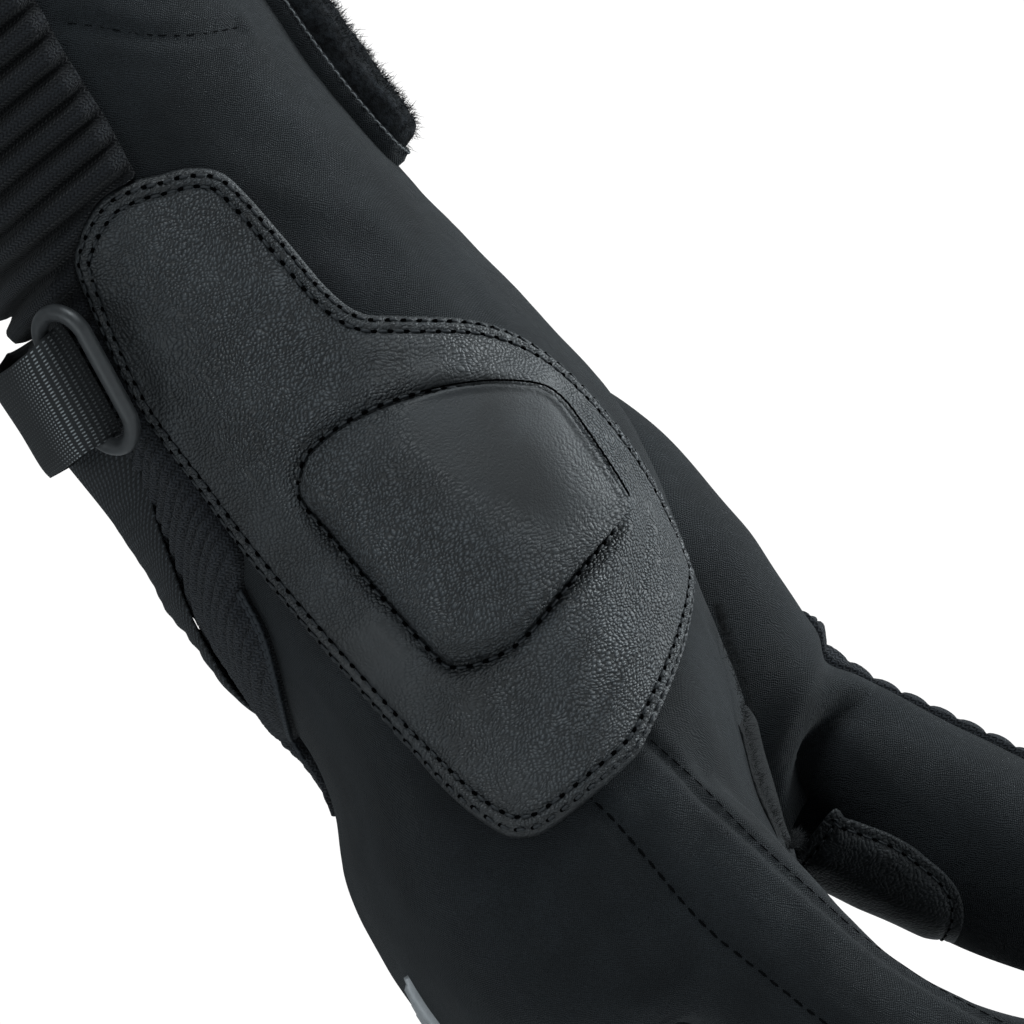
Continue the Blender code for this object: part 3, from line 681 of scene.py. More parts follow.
# The heel patch: one piece of goat leather over the heel of the hand, its edge rolled in and sewn down
# with two rows of thread 1.4 mm apart. Its pebbled grain is strong where the leather is slack and pulled
# smooth elsewhere.
LEATHER_FLOOR = 0.0002
LEATHER = 0.0014
EDGE_ROLL = 0.0011
OUTER_ROW = 0.0010
INNER_ROW = 0.0024
PAD_EDGE = 0.0031
PAD_TILT = 0.0012
STITCH_PITCH = 0.0021
THREAD = 0.00042
NEEDLE_HOLE = 0.00048
PATCH_STEP = 0.00046
PEBBLES_PER_MM = (1.75, 1.75, 2.30)
PEBBLE_SLANT = math.radians(-24)
PEBBLE_DEPTH = 0.00052
HEEL_PATCH = (
    (-0.0120, -0.0493), (-0.0088, -0.0454), (-0.0033, -0.0435), (0.0010, -0.0442), (0.0045, -0.0457),
    (0.0080, -0.0473), (0.0108, -0.0500), (0.0117, -0.0540), (0.0121, -0.0622), (0.0124, -0.0700),
    (0.0138, -0.0748), (0.0176, -0.0782), (0.0247, -0.0846), (0.0285, -0.0919), (0.0300, -0.1019),
    (0.0295, -0.1127), (0.0264, -0.1246), (0.0236, -0.1290), (0.0177, -0.1338), (0.0085, -0.1386),
    (0.0040, -0.1396), (-0.0070, -0.1398), (-0.0112, -0.1388), (-0.0138, -0.1358), (-0.0159, -0.1276),
    (-0.0165, -0.1144), (-0.0172, -0.0931), (-0.0168, -0.0806), (-0.0159, -0.0654),
)
PAD_OUTLINE = (
    (-0.0061, -0.0870), (-0.0026, -0.0851), (0.0039, -0.0852), (0.0122, -0.0874), (0.0194, -0.0910),
    (0.0248, -0.0954), (0.0264, -0.0988), (0.0263, -0.1038), (0.0256, -0.1114), (0.0248, -0.1142),
    (0.0224, -0.1154), (0.0125, -0.1172), (0.0043, -0.1188), (-0.0007, -0.1182), (-0.0047, -0.1165),
    (-0.0059, -0.1140), (-0.0067, -0.1034), (-0.0071, -0.0927), (-0.0073, -0.0890),
)
# Creases in the leather as seen from the side, with their depth and width in metres.
LEATHER_CREASES = (
    (((0.0125, -0.1255), (0.0190, -0.1225), (0.0245, -0.1165), (0.0262, -0.1140)), 0.00030, 0.0007),
    (((0.0040, -0.1215), (0.0100, -0.1212), (0.0160, -0.1198)), 0.00035, 0.0009),
    (((-0.0085, -0.1300), (0.0010, -0.1262), (0.0100, -0.1235)), 0.00025, 0.0012),
    (((-0.0020, -0.1350), (0.0060, -0.1315), (0.0150, -0.1270)), 0.00025, 0.0012),
    (((-0.0080, -0.0680), (0.0000, -0.0660), (0.0100, -0.0680)), 0.00020, 0.0014),
    (((-0.0120, -0.0800), (-0.0040, -0.0790), (0.0060, -0.0770), (0.0110, -0.0760)), 0.00022, 0.0016),
)
# Where the grain is strong or pulled smooth: forward, height, reach in metres, and how much.
GRAIN_SPOTS = (
    (0.002, -0.056, 0.0085, 0.9), (0.006, -0.068, 0.0070, 0.6), (0.000, -0.075, 0.0080, 0.7),
    (-0.002, -0.084, 0.0070, 0.55), (0.002, -0.098, 0.0080, 0.55), (0.004, -0.110, 0.0080, 0.85),
    (-0.004, -0.098, 0.0060, 0.6), (0.012, -0.114, 0.0050, 0.5), (0.010, -0.127, 0.0070, 0.8),
    (0.002, -0.133, 0.0070, 0.5), (0.027, -0.108, 0.0060, 0.8), (0.022, -0.122, 0.0060, 0.6),
    (0.017, -0.100, 0.0080, -0.75), (0.012, -0.093, 0.0060, -0.35), (-0.012, -0.110, 0.0070, -0.35),
)


# The hand unrolled: how far round it from the little finger's side, then the height.
TABLE_STEP = 0.0005
TABLE_TURN = 0.25
TABLE_HEIGHTS = np.arange(0.006, -CUFF_LENGTH - HAND_LENGTH, -TABLE_STEP)
TABLE_ARCS = np.arange(-0.160, 0.160, TABLE_STEP / 2)
TABLE_ANGLES = np.arange(90, 450 + TABLE_TURN, TABLE_TURN)
LITTLE_FINGER_SIDE = 270


def arc_tables():
    """How far round the hand each angle is at each height, and the angle at each distance."""
    rings = hand_surface(TABLE_ANGLES[None, :], TABLE_HEIGHTS[:, None])
    steps = np.linalg.norm(np.diff(rings, axis=1), axis=2)
    arcs = np.hstack([np.zeros((len(rings), 1)), np.cumsum(steps, axis=1)])
    arcs -= arcs[:, TABLE_ANGLES == LITTLE_FINGER_SIDE]
    return arcs, np.array([np.interp(TABLE_ARCS, row, TABLE_ANGLES) for row in arcs])


def look_up(table, row, column):
    """A table's values between its rows and columns."""
    row, column = np.broadcast_arrays(row, column)
    row = np.clip(row, 0, table.shape[0] - 1.001)
    column = np.clip(column, 0, table.shape[1] - 1.001)
    i, j = row.astype(int), column.astype(int)
    s, t = row - i, column - j
    upper = table[i, j] * (1 - t) + table[i, j + 1] * t
    lower = table[i + 1, j] * (1 - t) + table[i + 1, j + 1] * t
    return upper * (1 - s) + lower * s


ARCS, TURNS = arc_tables()


def arc_at(angle, z):
    return look_up(ARCS, (TABLE_HEIGHTS[0] - z) / TABLE_STEP, (angle - TABLE_ANGLES[0]) / TABLE_TURN)


def roll(arc, z, lift=0.0):
    """Points lifted off the hand, from their place on the unrolled hand."""
    arc, z, lift = np.broadcast_arrays(arc, z, lift)
    angle = look_up(TURNS, (TABLE_HEIGHTS[0] - z) / TABLE_STEP, (arc - TABLE_ARCS[0]) / (TABLE_STEP / 2))
    return hand_surface(angle, z, lift)


def from_side(points, lift=0.0):
    """Places on the unrolled hand that the camera sees, at this lift, at these forwards and heights."""
    x, z = np.asarray(points, float).T
    middle_x, _, half_x, _ = sections(z)
    aim = x
    for _ in range(6):
        share = np.clip((aim - middle_x) / half_x, -1, 1)
        arc = arc_at(360 - np.degrees(np.arccos(signed_power(share, 1 / SQUARENESS))), z)
        aim = aim + 0.8 * (x - roll(arc, z, lift)[:, 0])
    return np.stack([arc, z], axis=1)


def from_palm(points, back=False):
    """Places on the unrolled hand of points seen from the palm or the back, as across and height."""
    y, z = np.asarray(points, float).T
    _, middle_y, _, half_y = sections(z)
    turn = np.degrees(np.arcsin(signed_power(np.clip((y - middle_y) / half_y, -1, 1), 1 / SQUARENESS)))
    return np.stack([arc_at(180 - turn if back else 360 + turn, z), z], axis=1)


def evenly(line, step):
    """A line's points again, about this far apart."""
    line = np.asarray(line, float)
    run = travelled(line)
    return between(np.linspace(0, run[-1], max(2, round(run[-1] / step)) + 1), run, line)


def curved(points, step, loop=False):
    """A smooth curve through these points, as points about this far apart. A loop ends where it starts."""
    points = np.asarray(points, float)
    if loop:
        points = np.vstack([points[-1:], points, points[:2]])
    else:
        points = np.vstack([2 * points[0] - points[1], points, 2 * points[-1] - points[-2]])
    t = np.linspace(0, 1, 16, endpoint=False)[:, None]
    found = []
    for before, a, b, after in zip(points, points[1:], points[2:], points[3:]):
        square, cube = 2 * before - 5 * a + 4 * b - after, 3 * a - before - 3 * b + after
        found.append(a + ((b - before) * t + square * t**2 + cube * t**3) / 2)
    return evenly(np.vstack([*found, points[-2:-1]]), step)


def inside(points, loop):
    """Which flat points lie inside a loop that ends where it starts."""
    found = np.zeros(len(points), bool)
    x, y = points.T
    for (ax, ay), (bx, by) in zip(loop, loop[1:]):
        if ay == by:
            continue
        crosses = (ay > y) != (by > y)
        found ^= crosses & (x < (bx - ax) * (y - ay) / (by - ay) + ax)
    return found


def sheet_mesh(loop, step, stretch=1.0):
    """Flat points and triangles that fill a loop, finer down than across where stretch is under 1."""
    flat = loop * (stretch, 1)
    low, high = flat.min(axis=0), flat.max(axis=0)
    across = np.arange(low[0], high[0], step)
    down = np.arange(low[1], high[1], step * 0.866)
    shift = (np.arange(len(down)) % 2) * step / 2
    grid = np.broadcast_arrays(across[None, :] + shift[:, None], down[:, None])
    grid = np.stack(grid, axis=2).reshape(-1, 2)
    grid = grid[inside(grid, flat)]
    grid = grid[near_line(grid, flat)[0] > 0.6 * step]
    points = np.vstack([flat[:-1], grid]) * 1000
    count = len(flat) - 1
    edges = [(k, (k + 1) % count) for k in range(count)]
    found = geometry.delaunay_2d_cdt([Vector(p) for p in points], edges, [], 1, 1e-6)
    return np.array([tuple(p) for p in found[0]]) / 1000 / (stretch, 1), [list(face) for face in found[2]]


def sewn_sheet(name, loop, step, top, base=-0.0008, surface=roll, stretch=1.0):
    """A piece laid on a surface. top gives its face's lift from flat points and their way from the edge."""
    flat, faces = sheet_mesh(loop, step, stretch)
    edge, _ = near_line(flat, loop)
    face = surface(flat[:, 0], flat[:, 1], top(flat, edge))
    used = {(a, b) for f in faces for a, b in zip(f, f[1:] + f[:1])}
    rim = [(a, b) for a, b in used if (b, a) not in used]
    ends = sorted({k for pair in rim for k in pair})
    number = {k: len(flat) + i for i, k in enumerate(ends)}
    under = surface(flat[ends, 0], flat[ends, 1], base)
    faces += [[b, a, number[a], number[b]] for a, b in rim]
    piece = new_piece(name, np.vstack([face, under]), faces)
    return piece, flat, edge


def turned_area(loop):
    """The area inside a flat loop, less than 0 where the loop turns clockwise."""
    return np.sum(loop[:-1, 0] * loop[1:, 1] - loop[1:, 0] * loop[:-1, 1]) / 2


def rounded_edge(edge, radius):
    """0 at a sheet's edge, curving up to 1 this far in."""
    share = np.clip(edge / radius, 0, 1)
    return np.sqrt(1 - (1 - share) ** 2)


def ease(value):
    value = np.clip(value, 0, 1)
    return value * value * (3 - 2 * value)


def lifted_path(flat, lift, surface=roll):
    """A line on a surface as points at this lift and the directions out of it."""
    points = surface(flat[:, 0], flat[:, 1], lift)
    return points, unit(surface(flat[:, 0], flat[:, 1], lift + 1e-3) - points)


def inset(loop, distance):
    """A loop drawn in by a distance."""
    run = unit(np.roll(loop[:-1], -1, axis=0) - np.roll(loop[:-1], 1, axis=0))
    inward = np.stack([-run[:, 1], run[:, 0]], axis=1) * np.sign(turned_area(loop))
    moved = loop[:-1] + inward * distance
    return np.vstack([moved, moved[:1]])


def paint_value(piece, name, values):
    """Stores a number at each point of a piece for its material."""
    layer = piece.data.attributes.new(name, "FLOAT", "POINT")
    full = np.zeros(len(piece.data.vertices), np.float32)
    full[: len(values)] = values
    layer.data.foreach_set("value", full)


def add_value(tree, name):
    node = tree.nodes.new("ShaderNodeAttribute")
    node.attribute_name = name
    return node.outputs["Fac"]


heel_loop = evenly(from_side(curved(HEEL_PATCH, 0.0006, loop=True), LEATHER), 0.0006)
pad_outline = curved(PAD_OUTLINE, 0.0005, loop=True)
pad_edge_lift = PAD_EDGE + PAD_TILT * ease((pad_outline[:, 0] - 0.006) / 0.018)
pad_loop = evenly(from_side(pad_outline, pad_edge_lift), 0.0005)


def scallops(flat, line, rows, edge):
    """How the leather puffs between the stitches of its rows, from -1 to 1."""
    _, place = near_line(flat, line)
    beat = np.cos(2 * np.pi * place * travelled(line)[-1] / STITCH_PITCH)
    return beat * sum(bell(edge - row, 0.0005) for row in rows)


def patch_lift(flat, edge):
    lift = LEATHER_FLOOR + LEATHER * rounded_edge(edge, EDGE_ROLL)
    for row in (OUTER_ROW, INNER_ROW):
        lift = lift - 0.00042 * bell(edge - row, 0.00036)
    lift = lift + 0.00016 * bell(edge - (OUTER_ROW + INNER_ROW) / 2, 0.0004)
    near_edge = edge < 0.0035
    rows = (OUTER_ROW, INNER_ROW)
    lift[near_edge] += 0.00010 * scallops(flat[near_edge], heel_loop, rows, edge[near_edge])
    to_pad, _ = near_line(flat, pad_loop)
    under_pad = inside(flat, pad_loop)
    round_pad = lift - 0.0011 * bell(to_pad, 0.0012) + 0.00025 * bell(to_pad - 0.0028, 0.0014)
    lift = np.where(under_pad, lift - 0.0004, round_pad)
    calm = ease((edge - 0.002) / 0.004) * np.where(under_pad, 0, ease(to_pad / 0.004))
    lift = lift + calm * 0.00050 * waviness(flat * (1.0, 1.8), 0.013, 3.1)
    for crease, depth, width in LEATHER_CREASES:
        away, place = near_line(flat, from_side(curved(crease, 0.001)))
        fade = np.sin(np.pi * np.clip(place, 0.02, 0.98)) ** 0.5
        lift = lift - depth * bell(away, width) * fade * np.where(under_pad, 0, 1)
    return lift


def grain_strength(points):
    strength = np.full(len(points), 0.34)
    for x, z, reach, much in GRAIN_SPOTS:
        strength += much * bell(np.hypot(points[:, 0] - x, points[:, 2] - z), reach)
    return np.clip(strength + 0.18 * waviness(points, 0.006, 5.0), 0.05, 1.25)


def make_leather():
    """Goat leather: slanting pebbles about half a millimetre apart, with painted shade between them, painted
    highlights on their tops, and worn satin on top.
    """
    material, tree, vector = new_material("grain_leather")
    strength = add_value(tree, "grain")
    bend = tree.nodes.new("ShaderNodeTexNoise")
    bend.inputs["Scale"].default_value = 0.22
    bend.inputs["Detail"].default_value = 2.0
    tree.links.new(vector, bend.inputs["Vector"])
    mixed = tree.nodes.new("ShaderNodeVectorMath")
    mixed.operation = "MULTIPLY_ADD"
    tree.links.new(bend.outputs["Color"], mixed.inputs[0])
    mixed.inputs[1].default_value = (2.2, 2.2, 2.2)
    tree.links.new(vector, mixed.inputs[2])
    squeeze = tree.nodes.new("ShaderNodeMapping")
    squeeze.inputs["Scale"].default_value = PEBBLES_PER_MM
    squeeze.inputs["Rotation"].default_value = (0, PEBBLE_SLANT, 0)
    tree.links.new(mixed.outputs[0], squeeze.inputs["Vector"])
    pebbles = tree.nodes.new("ShaderNodeTexVoronoi")
    pebbles.feature = "F1"
    pebbles.inputs["Scale"].default_value = 1.0
    pebbles.inputs["Randomness"].default_value = 0.62
    tree.links.new(squeeze.outputs[0], pebbles.inputs["Vector"])
    away = times(tree, pebbles.outputs["Distance"], 1.45)
    dome = add_math(tree, "SUBTRACT", 1.0, times(tree, away, away), clamp=True)
    fine = add_noise(tree, vector, 3.5, 4.0, 0.65)
    clouds = add_noise(tree, vector, 0.12, 3.0, 0.55)
    height = plus(tree, times(tree, dome, strength), times(tree, fine, 0.14))
    # Painted light and shade: the colour is lighter on each pebble's top and darker between the pebbles,
    # mixed with random clouds of tone.
    lit = plus(tree, times(tree, height, 0.55), times(tree, clouds, 0.5))
    lit = add_range(tree, lit, 0.25, 0.80, 0, 1)
    colour = add_tint(tree, lit, (0.0020, 0.0028, 0.0036), (0.0370, 0.0425, 0.0475))
    worn = add_range(tree, plus(tree, fine, clouds), 0.6, 1.4, 0.46, 0.60)
    finish(tree, colour, add_bump(tree, height, PEBBLE_DEPTH), worn, specular=0.55)
    return material


leather = make_leather()
heel_patch, _, heel_edge = sewn_sheet("heel_patch_leather", heel_loop, PATCH_STEP, patch_lift)
heel_grain = grain_strength(get_points(heel_patch))
from_edge = np.zeros(len(heel_grain))
from_edge[: len(heel_edge)] = heel_edge
paint_value(heel_patch, "grain", heel_grain * ease(from_edge / 0.0022 * 0.7 + 0.3))
heel_patch.data.materials.append(leather)
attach(heel_patch, "root")
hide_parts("heel_patch")

row_lift = LEATHER_FLOOR + LEATHER - 0.00022
heel_rows = [lifted_path(evenly(inset(heel_loop, row), 0.0004), row_lift) for row in (OUTER_ROW, INNER_ROW)]
sewing("heel_patch_stitches", heel_rows, STITCH_PITCH, THREAD, thread_black, NEEDLE_HOLE)


# The slider pad: a domed foam pad on the heel patch, under a leather cover that is sewn down on three
# sides in a sunken seam and folded over a crisp edge towards the palm.
PAD_FLOOR = 0.0012
PAD_RIM = 0.0016
PAD_DOME = 0.0019
PAD_PUFF_ROW = 0.0008
FOLD_LIFT = LEATHER_FLOOR + LEATHER + 0.0005


def pad_sharpness(flat):
    """1 towards the palm, where the cover is folded crisply, and 0 where the seam pulls it round."""
    points = roll(flat[:, 0], flat[:, 1])
    return ease((points[:, 0] - 0.003) / 0.014)


def pad_lift(flat, edge):
    sharp = pad_sharpness(flat)
    radius = 0.0026 * (1 - sharp) + 0.0007 * sharp
    forward = roll(flat[:, 0], flat[:, 1])[:, 0]
    rim = PAD_RIM * 0.88 + PAD_TILT * ease((forward - 0.004) / 0.018)
    lift = PAD_FLOOR + rim * rounded_edge(edge, radius)
    lift = lift + PAD_DOME * (1 - 0.80 * sharp) * (1 - np.exp(-edge / 0.004))
    lift = lift + sharp * 0.00040 * bell(edge - 0.0006, 0.0004)
    lift = lift + 0.00018 * ease(edge / 0.004) * waviness(flat, 0.012, 8.0)
    near_edge = (edge < 0.002) & (sharp < 0.5)
    lift[near_edge] += 0.00012 * scallops(flat[near_edge], pad_loop, (PAD_PUFF_ROW,), edge[near_edge])
    return lift


slider_pad, _, _ = sewn_sheet("slider_pad_cover", pad_loop, 0.00044, pad_lift, base=0.0002)
pad_points = get_points(slider_pad)
pulled_smooth = ease((pad_points[:, 0] - 0.006) / 0.010) * ease((pad_points[:, 2] + 0.1205) / 0.010)
paint_value(slider_pad, "grain", grain_strength(pad_points) * (1 - 0.8 * pulled_smooth))
slider_pad.data.materials.append(leather)
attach(slider_pad, "root")
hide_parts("slider_pad")

pad_row = lifted_path(evenly(inset(pad_loop, -0.00055), 0.0004), LEATHER_FLOOR + LEATHER - 0.00062)
sewing("slider_pad_stitches", [pad_row], STITCH_PITCH, THREAD, thread_black, NEEDLE_HOLE)

# Painted shadow: a black thread laid in the gap under the folded edge.
fold_outline = inset(pad_outline, -0.00015)
fold_outline = fold_outline[(fold_outline[:, 0] > 0.013) & (fold_outline[:, 1] > -0.1135)]
folded_line = lifted_path(from_side(fold_outline, FOLD_LIFT), FOLD_LIFT)
sewing("slider_pad_shadow_fold", [folded_line], 0.0012, 0.00026, painted_shade_black, share=1.6)


# The thumb: a wide tube of the same softshell, set into the hand and pushed towards the palm, so that it
# folds in one deep crease where it bends, with a fold rolling over it.
THUMB_LENGTH = 0.119
THUMB_WIDTH = 0.029
THUMB_START = (0.165, 0.17, 0.28)
THUMB_CURL = np.array(
    (
        # along, bend, splay, girth
        (0.00, 22.0, 14.0, 1.02),
        (0.12, 15.0, 14.0, 1.20),
        (0.24, 4.0, 14.0, 1.27),
        (0.36, 2.0, 14.0, 1.23),
        (0.46, 9.0, 12.0, 1.13),
        (0.505, 18.0, 10.0, 1.07),
        (0.535, 22.0, 9.0, 0.90),
        (0.575, 24.0, 8.0, 0.92),
        (0.66, 26.0, 6.0, 0.93),
        (0.78, 27.0, 4.0, 0.92),
        (0.90, 29.0, 2.0, 0.87),
        (1.00, 31.0, 2.0, 0.78),
    )
)
# The crease as the camera sees it, as forward and height, and how deep the hollow under it is.
THUMB_CREASE = (
    (0.0400, -0.1548), (0.0377, -0.1535), (0.0308, -0.1512), (0.0243, -0.1524), (0.0185, -0.1566),
    (0.0150, -0.1610),
)
CREASE_DEPTH = 0.0084
THUMB_SIDES = 200
THUMB_ROWS = 260
THUMB_TIP_ROWS = 14

thumb_root = np.array(THUMB_START) * (HAND_THICKNESS, HAND_BREADTH, -HAND_LENGTH) - (0, 0, CUFF_LENGTH)
thumb_line = finger_line(thumb_root, THUMB_LENGTH, THUMB_CURL)


def thumb_surface(angle, along, lift=0.0):
    """Points lifted off the thumb: the angle is 0 on its palm side and 270 on the camera's side."""
    angle, along, lift = np.broadcast_arrays(np.radians(angle), along, lift)
    girth = thumb_line[2]
    at, _, palmward, sideways = finger_frame(thumb_line, along)
    reach = np.interp(along, np.linspace(0, 1, len(girth)), girth) * THUMB_WIDTH / 2 + lift
    return at + (palmward * np.cos(angle)[..., None] + sideways * np.sin(angle)[..., None]) * reach[..., None]


def thumb_roll(arc, down, lift=0.0):
    """As roll, for the thumb: the way round it from the camera's side, and minus the way along it."""
    return thumb_surface(270 + np.degrees(arc / (THUMB_WIDTH / 2)), -down / THUMB_LENGTH, lift)


def thumb_place(angle, along):
    arc = np.radians(np.asarray(angle, float) - 270) * THUMB_WIDTH / 2
    return arc, -np.asarray(along, float) * THUMB_LENGTH


def thumb_fold(points, angle):
    """How far the cloth is pushed in or out near the crease, on the camera's side of the thumb."""
    seen = np.stack([points[:, 0], points[:, 2]], axis=1)
    line = curved(THUMB_CREASE, 0.0008)
    away, _ = near_line(seen, line)
    order = np.argsort(line[:, 0])
    above = seen[:, 1] - np.interp(seen[:, 0], line[order, 0], line[order, 1])
    away = np.where(above > 0, away, -away)
    facing = ease((np.cos(np.radians(angle - 262)) + 0.1) / 0.7)
    depth = CREASE_DEPTH * (0.35 + 0.65 * ease((0.036 - points[:, 0]) / 0.014))
    below = np.exp(away / 0.0062) * ease(-away / 0.0011 + 0.35)
    hollow = np.where(away < 0, below, np.exp(-away / 0.0006) * 0.35)
    roll_over = 0.0019 * bell(away - 0.0022, 0.0032)
    return facing * (roll_over - depth * hollow)


def make_thumb():
    along = np.linspace(0.0, 1 - ROUND_TIP / THUMB_LENGTH, THUMB_ROWS)
    angles = np.linspace(0, 360, THUMB_SIDES, endpoint=False)
    rings = thumb_surface(angles[None, :], along[:, None])
    flat = rings.reshape(-1, 3)
    angle = np.broadcast_to(angles[None, :], rings.shape[:2]).ravel()
    lift = thumb_fold(flat, angle)
    lift += 0.00055 * waviness(flat * (1.0, 1.0, 0.8), 0.016, 21.0) - 0.0003
    for height in (-0.1290, -0.1390):
        slack = flat[:, 2] - height - 0.16 * (flat[:, 0] - 0.025)
        lift += 0.00035 * bell(slack, 0.0035) * ease(np.cos(np.radians(angle - 300)))
    rings = thumb_surface(angles[None, :], along[:, None], lift.reshape(rings.shape[:2]))
    last = rings[-1]
    middle = last.mean(axis=0)
    ahead = thumb_line[1][-1] * ROUND_TIP
    turns = np.radians(np.linspace(6, 88, THUMB_TIP_ROWS))
    tips = [middle + (last - middle) * math.cos(t) + ahead * math.sin(t) for t in turns]
    points, faces = closed_tube(np.concatenate([rings, np.array(tips)]))
    thumb = new_piece("thumb_softshell", points, faces)
    hidden = off_square(*points.T) < -0.05
    hidden &= points[:, 2] > -CUFF_LENGTH - 0.95 * HAND_LENGTH
    bm = bmesh.new()
    bm.from_mesh(thumb.data)
    bm.verts.ensure_lookup_table()
    bmesh.ops.delete(bm, geom=[bm.verts[k] for k in np.flatnonzero(hidden)], context="VERTS")
    bm.to_mesh(thumb.data)
    bm.free()
    thumb.data.shade_smooth()
    return thumb


thumb = make_thumb()
thumb.data.materials.append(softshell)
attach(thumb, "root")
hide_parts("thumb_shell")


# The lining: brushed fleece sewn inside the shell and seen in the cuff's opening. Its lip reaches up
# under the cuff's binding.
LINING_WALL = 0.0021
LINING_DEPTH = 0.1655
LINING_SIDES = 120


def make_lining():
    heights = np.arange(-0.0006, -LINING_DEPTH, -0.0025)
    angles = np.linspace(0, 360, LINING_SIDES, endpoint=False)
    rings = hand_surface(angles[None, :], heights[:, None], -LINING_WALL)
    nap = 0.0004 * (1 + waviness(rings.reshape(-1, 3), 0.012, 31.0)).reshape(rings.shape[:2])
    rings = hand_surface(angles[None, :], heights[:, None], -LINING_WALL - nap)
    lip = hand_surface(angles, SHELL_TOP, -0.0004)
    points, faces = closed_tube(np.concatenate([lip[None], rings]))
    faces = [face for face in faces if face[0] != LINING_SIDES - 1]
    return new_piece("cuff_lining", points, faces)


def make_fleece():
    material, tree, vector = new_material("fleece")
    tufts = add_noise(tree, vector, 0.9, 5.0, 0.7)
    lit = add_range(tree, tufts, 0.3, 0.7, 0, 1)
    colour = add_tint(tree, lit, (0.006, 0.0065, 0.007), (0.022, 0.0235, 0.025))
    finish(tree, colour, add_bump(tree, tufts, 0.0006), roughness=0.95, sheen=0.3, sheen_roughness=0.6)
    return material


lining = make_lining()
lining.data.materials.append(make_fleece())
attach(lining, "root")


# The wrist accordion: knitted stretch cloth gathered into ribs with narrow valleys, straight round the
# cuff and softer, closer and fanned out towards the knuckles. It is sewn in along a seam with piping.
RIB_PITCH = 0.0039
RIB_HEIGHT = 0.0024
SOFT_RIB_HEIGHT = 0.0015
ACCORDION_TOP = -0.0009
ACCORDION_SEAM = (
    (0.0063, ACCORDION_TOP), (0.0061, -0.0100), (0.0059, -0.0189), (0.0049, -0.0252), (0.0042, -0.0310),
    (0.0035, -0.0369), (0.0024, -0.0424), (0.0018, -0.0440),
)
ACCORDION_UNDER_PATCH = (
    (-0.0033, -0.0435), (-0.0082, -0.0458), (-0.0115, -0.0500), (-0.0150, -0.0654), (-0.0160, -0.0806),
    (-0.0170, -0.0885),
)
ACCORDION_LOWER_SEAM = ((-0.0199, -0.0925), (-0.0214, -0.0994), (-0.0256, -0.1087), (-0.0302, -0.1180))
ACCORDION_LOW_EDGE = (0.006, 0.013, 0.020)
ACCORDION_FAR_EDGE = 0.024
KNIT_COLUMN = 0.86
KNIT_LOOP = 0.58


def accordion_outline():
    side = from_side(curved(ACCORDION_SEAM + ACCORDION_UNDER_PATCH + ACCORDION_LOWER_SEAM, 0.0008))
    low = from_palm([(y, -0.1215 - 0.06 * abs(y + 0.005)) for y in ACCORDION_LOW_EDGE], back=True)
    heights = np.linspace(-0.1205, ACCORDION_TOP, 40)
    far = from_palm([(ACCORDION_FAR_EDGE, z) for z in heights], back=True)
    top = np.stack([np.linspace(far[-1, 0], side[0, 0], 60), np.full(60, ACCORDION_TOP)], axis=1)
    return evenly(np.vstack([side, low, far, top[1:]]), 0.0008)


def rib_place(flat):
    """How many ribs down each place is, and how far the place has passed into the soft ribs."""
    soft = ease((-0.052 - flat[:, 1]) / 0.018)
    silhouette = arc_at(180.0, flat[:, 1])
    fan = 0.42 * soft * np.clip(flat[:, 0] - silhouette, -0.030, 0.040)
    wobble = 0.0005 * waviness(flat * (0.5, 1.0), 0.012, 41.0)
    return (flat[:, 1] - fan + wobble) / RIB_PITCH, soft


def accordion_lift(flat, edge):
    ribs, soft = rib_place(flat)
    crest = 1 - np.abs(np.cos(np.pi * ribs)) ** 7
    loose = 0.65 * np.abs(np.sin(2 * np.pi * ribs)) ** 0.8 + 0.35 * np.abs(np.sin(np.pi * ribs))
    lift = 0.0010 + (1 - soft) * RIB_HEIGHT * crest + soft * SOFT_RIB_HEIGHT * loose
    down = ease(edge / 0.0022)
    lift = 0.0006 + (lift - 0.0006) * (0.15 + 0.85 * down)
    lift = lift * (1 - 0.75 * ease((-0.108 - flat[:, 1]) / 0.012))
    return lift + 0.00016 * waviness(flat, 0.006, 42.0)


def make_rib_knit():
    """Rib knit: loops as small chevrons in columns along each rib, almost black, with painted shade in the
    valleys and painted light on the rib tops, read from the crest value.
    """
    material, tree, vector = new_material("rib_knit")
    across, down = flat_place(tree, vector)
    sway = add_noise(tree, vector, 0.35, 2.0, 0.5)
    column = add_math(tree, "FRACT", times(tree, down, 1 / KNIT_COLUMN))
    fold = add_math(tree, "ABSOLUTE", add_math(tree, "SUBTRACT", column, 0.5))
    beat = plus(tree, times(tree, across, 1 / KNIT_LOOP), times(tree, fold, 1.5))
    loops = wave(tree, plus(tree, beat, times(tree, sway, 1.2)), 1.0)
    columns = wave(tree, down, KNIT_COLUMN / 2, "COSINE")
    lint = add_noise(tree, vector, 3.0, 3.0, 0.7)
    height = plus(tree, times(tree, loops, 0.5), plus(tree, times(tree, columns, 0.25), lint))
    # The crest value paints shade into the valleys between the ribs and light on their tops.
    lit = times(tree, add_range(tree, height, -0.3, 1.4, 0.05, 1.0), add_value(tree, "crest"))
    colour = add_tint(tree, lit, (0.0010, 0.0012, 0.0018), (0.0200, 0.0225, 0.0270))
    finish(tree, colour, add_bump(tree, height, 0.00016), roughness=0.9, specular=0.2, sheen=0.05)
    return material


def rib_painted_shading(flat):
    """How light the knit is: painted shade in the valleys between the ribs and painted light on their tops.
    """
    ribs, soft = rib_place(flat)
    firm = np.clip(1 - np.abs(np.cos(np.pi * ribs)) ** 1.5, 0, 1) ** 1.3
    loose = 0.45 + 1.25 * np.abs(np.sin(2 * np.pi * ribs)) ** 1.2
    return 0.9 * firm * (1 - soft) + loose * soft


rib_knit = make_rib_knit()
accordion_loop = accordion_outline()
accordion, accordion_flat, _ = sewn_sheet(
    "wrist_accordion_knit", accordion_loop, 0.0005, accordion_lift, stretch=0.55
)
paint_value(accordion, "crest", rib_painted_shading(accordion_flat))
accordion.data.materials.append(rib_knit)
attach(accordion, "root")
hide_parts("wrist_accordion")

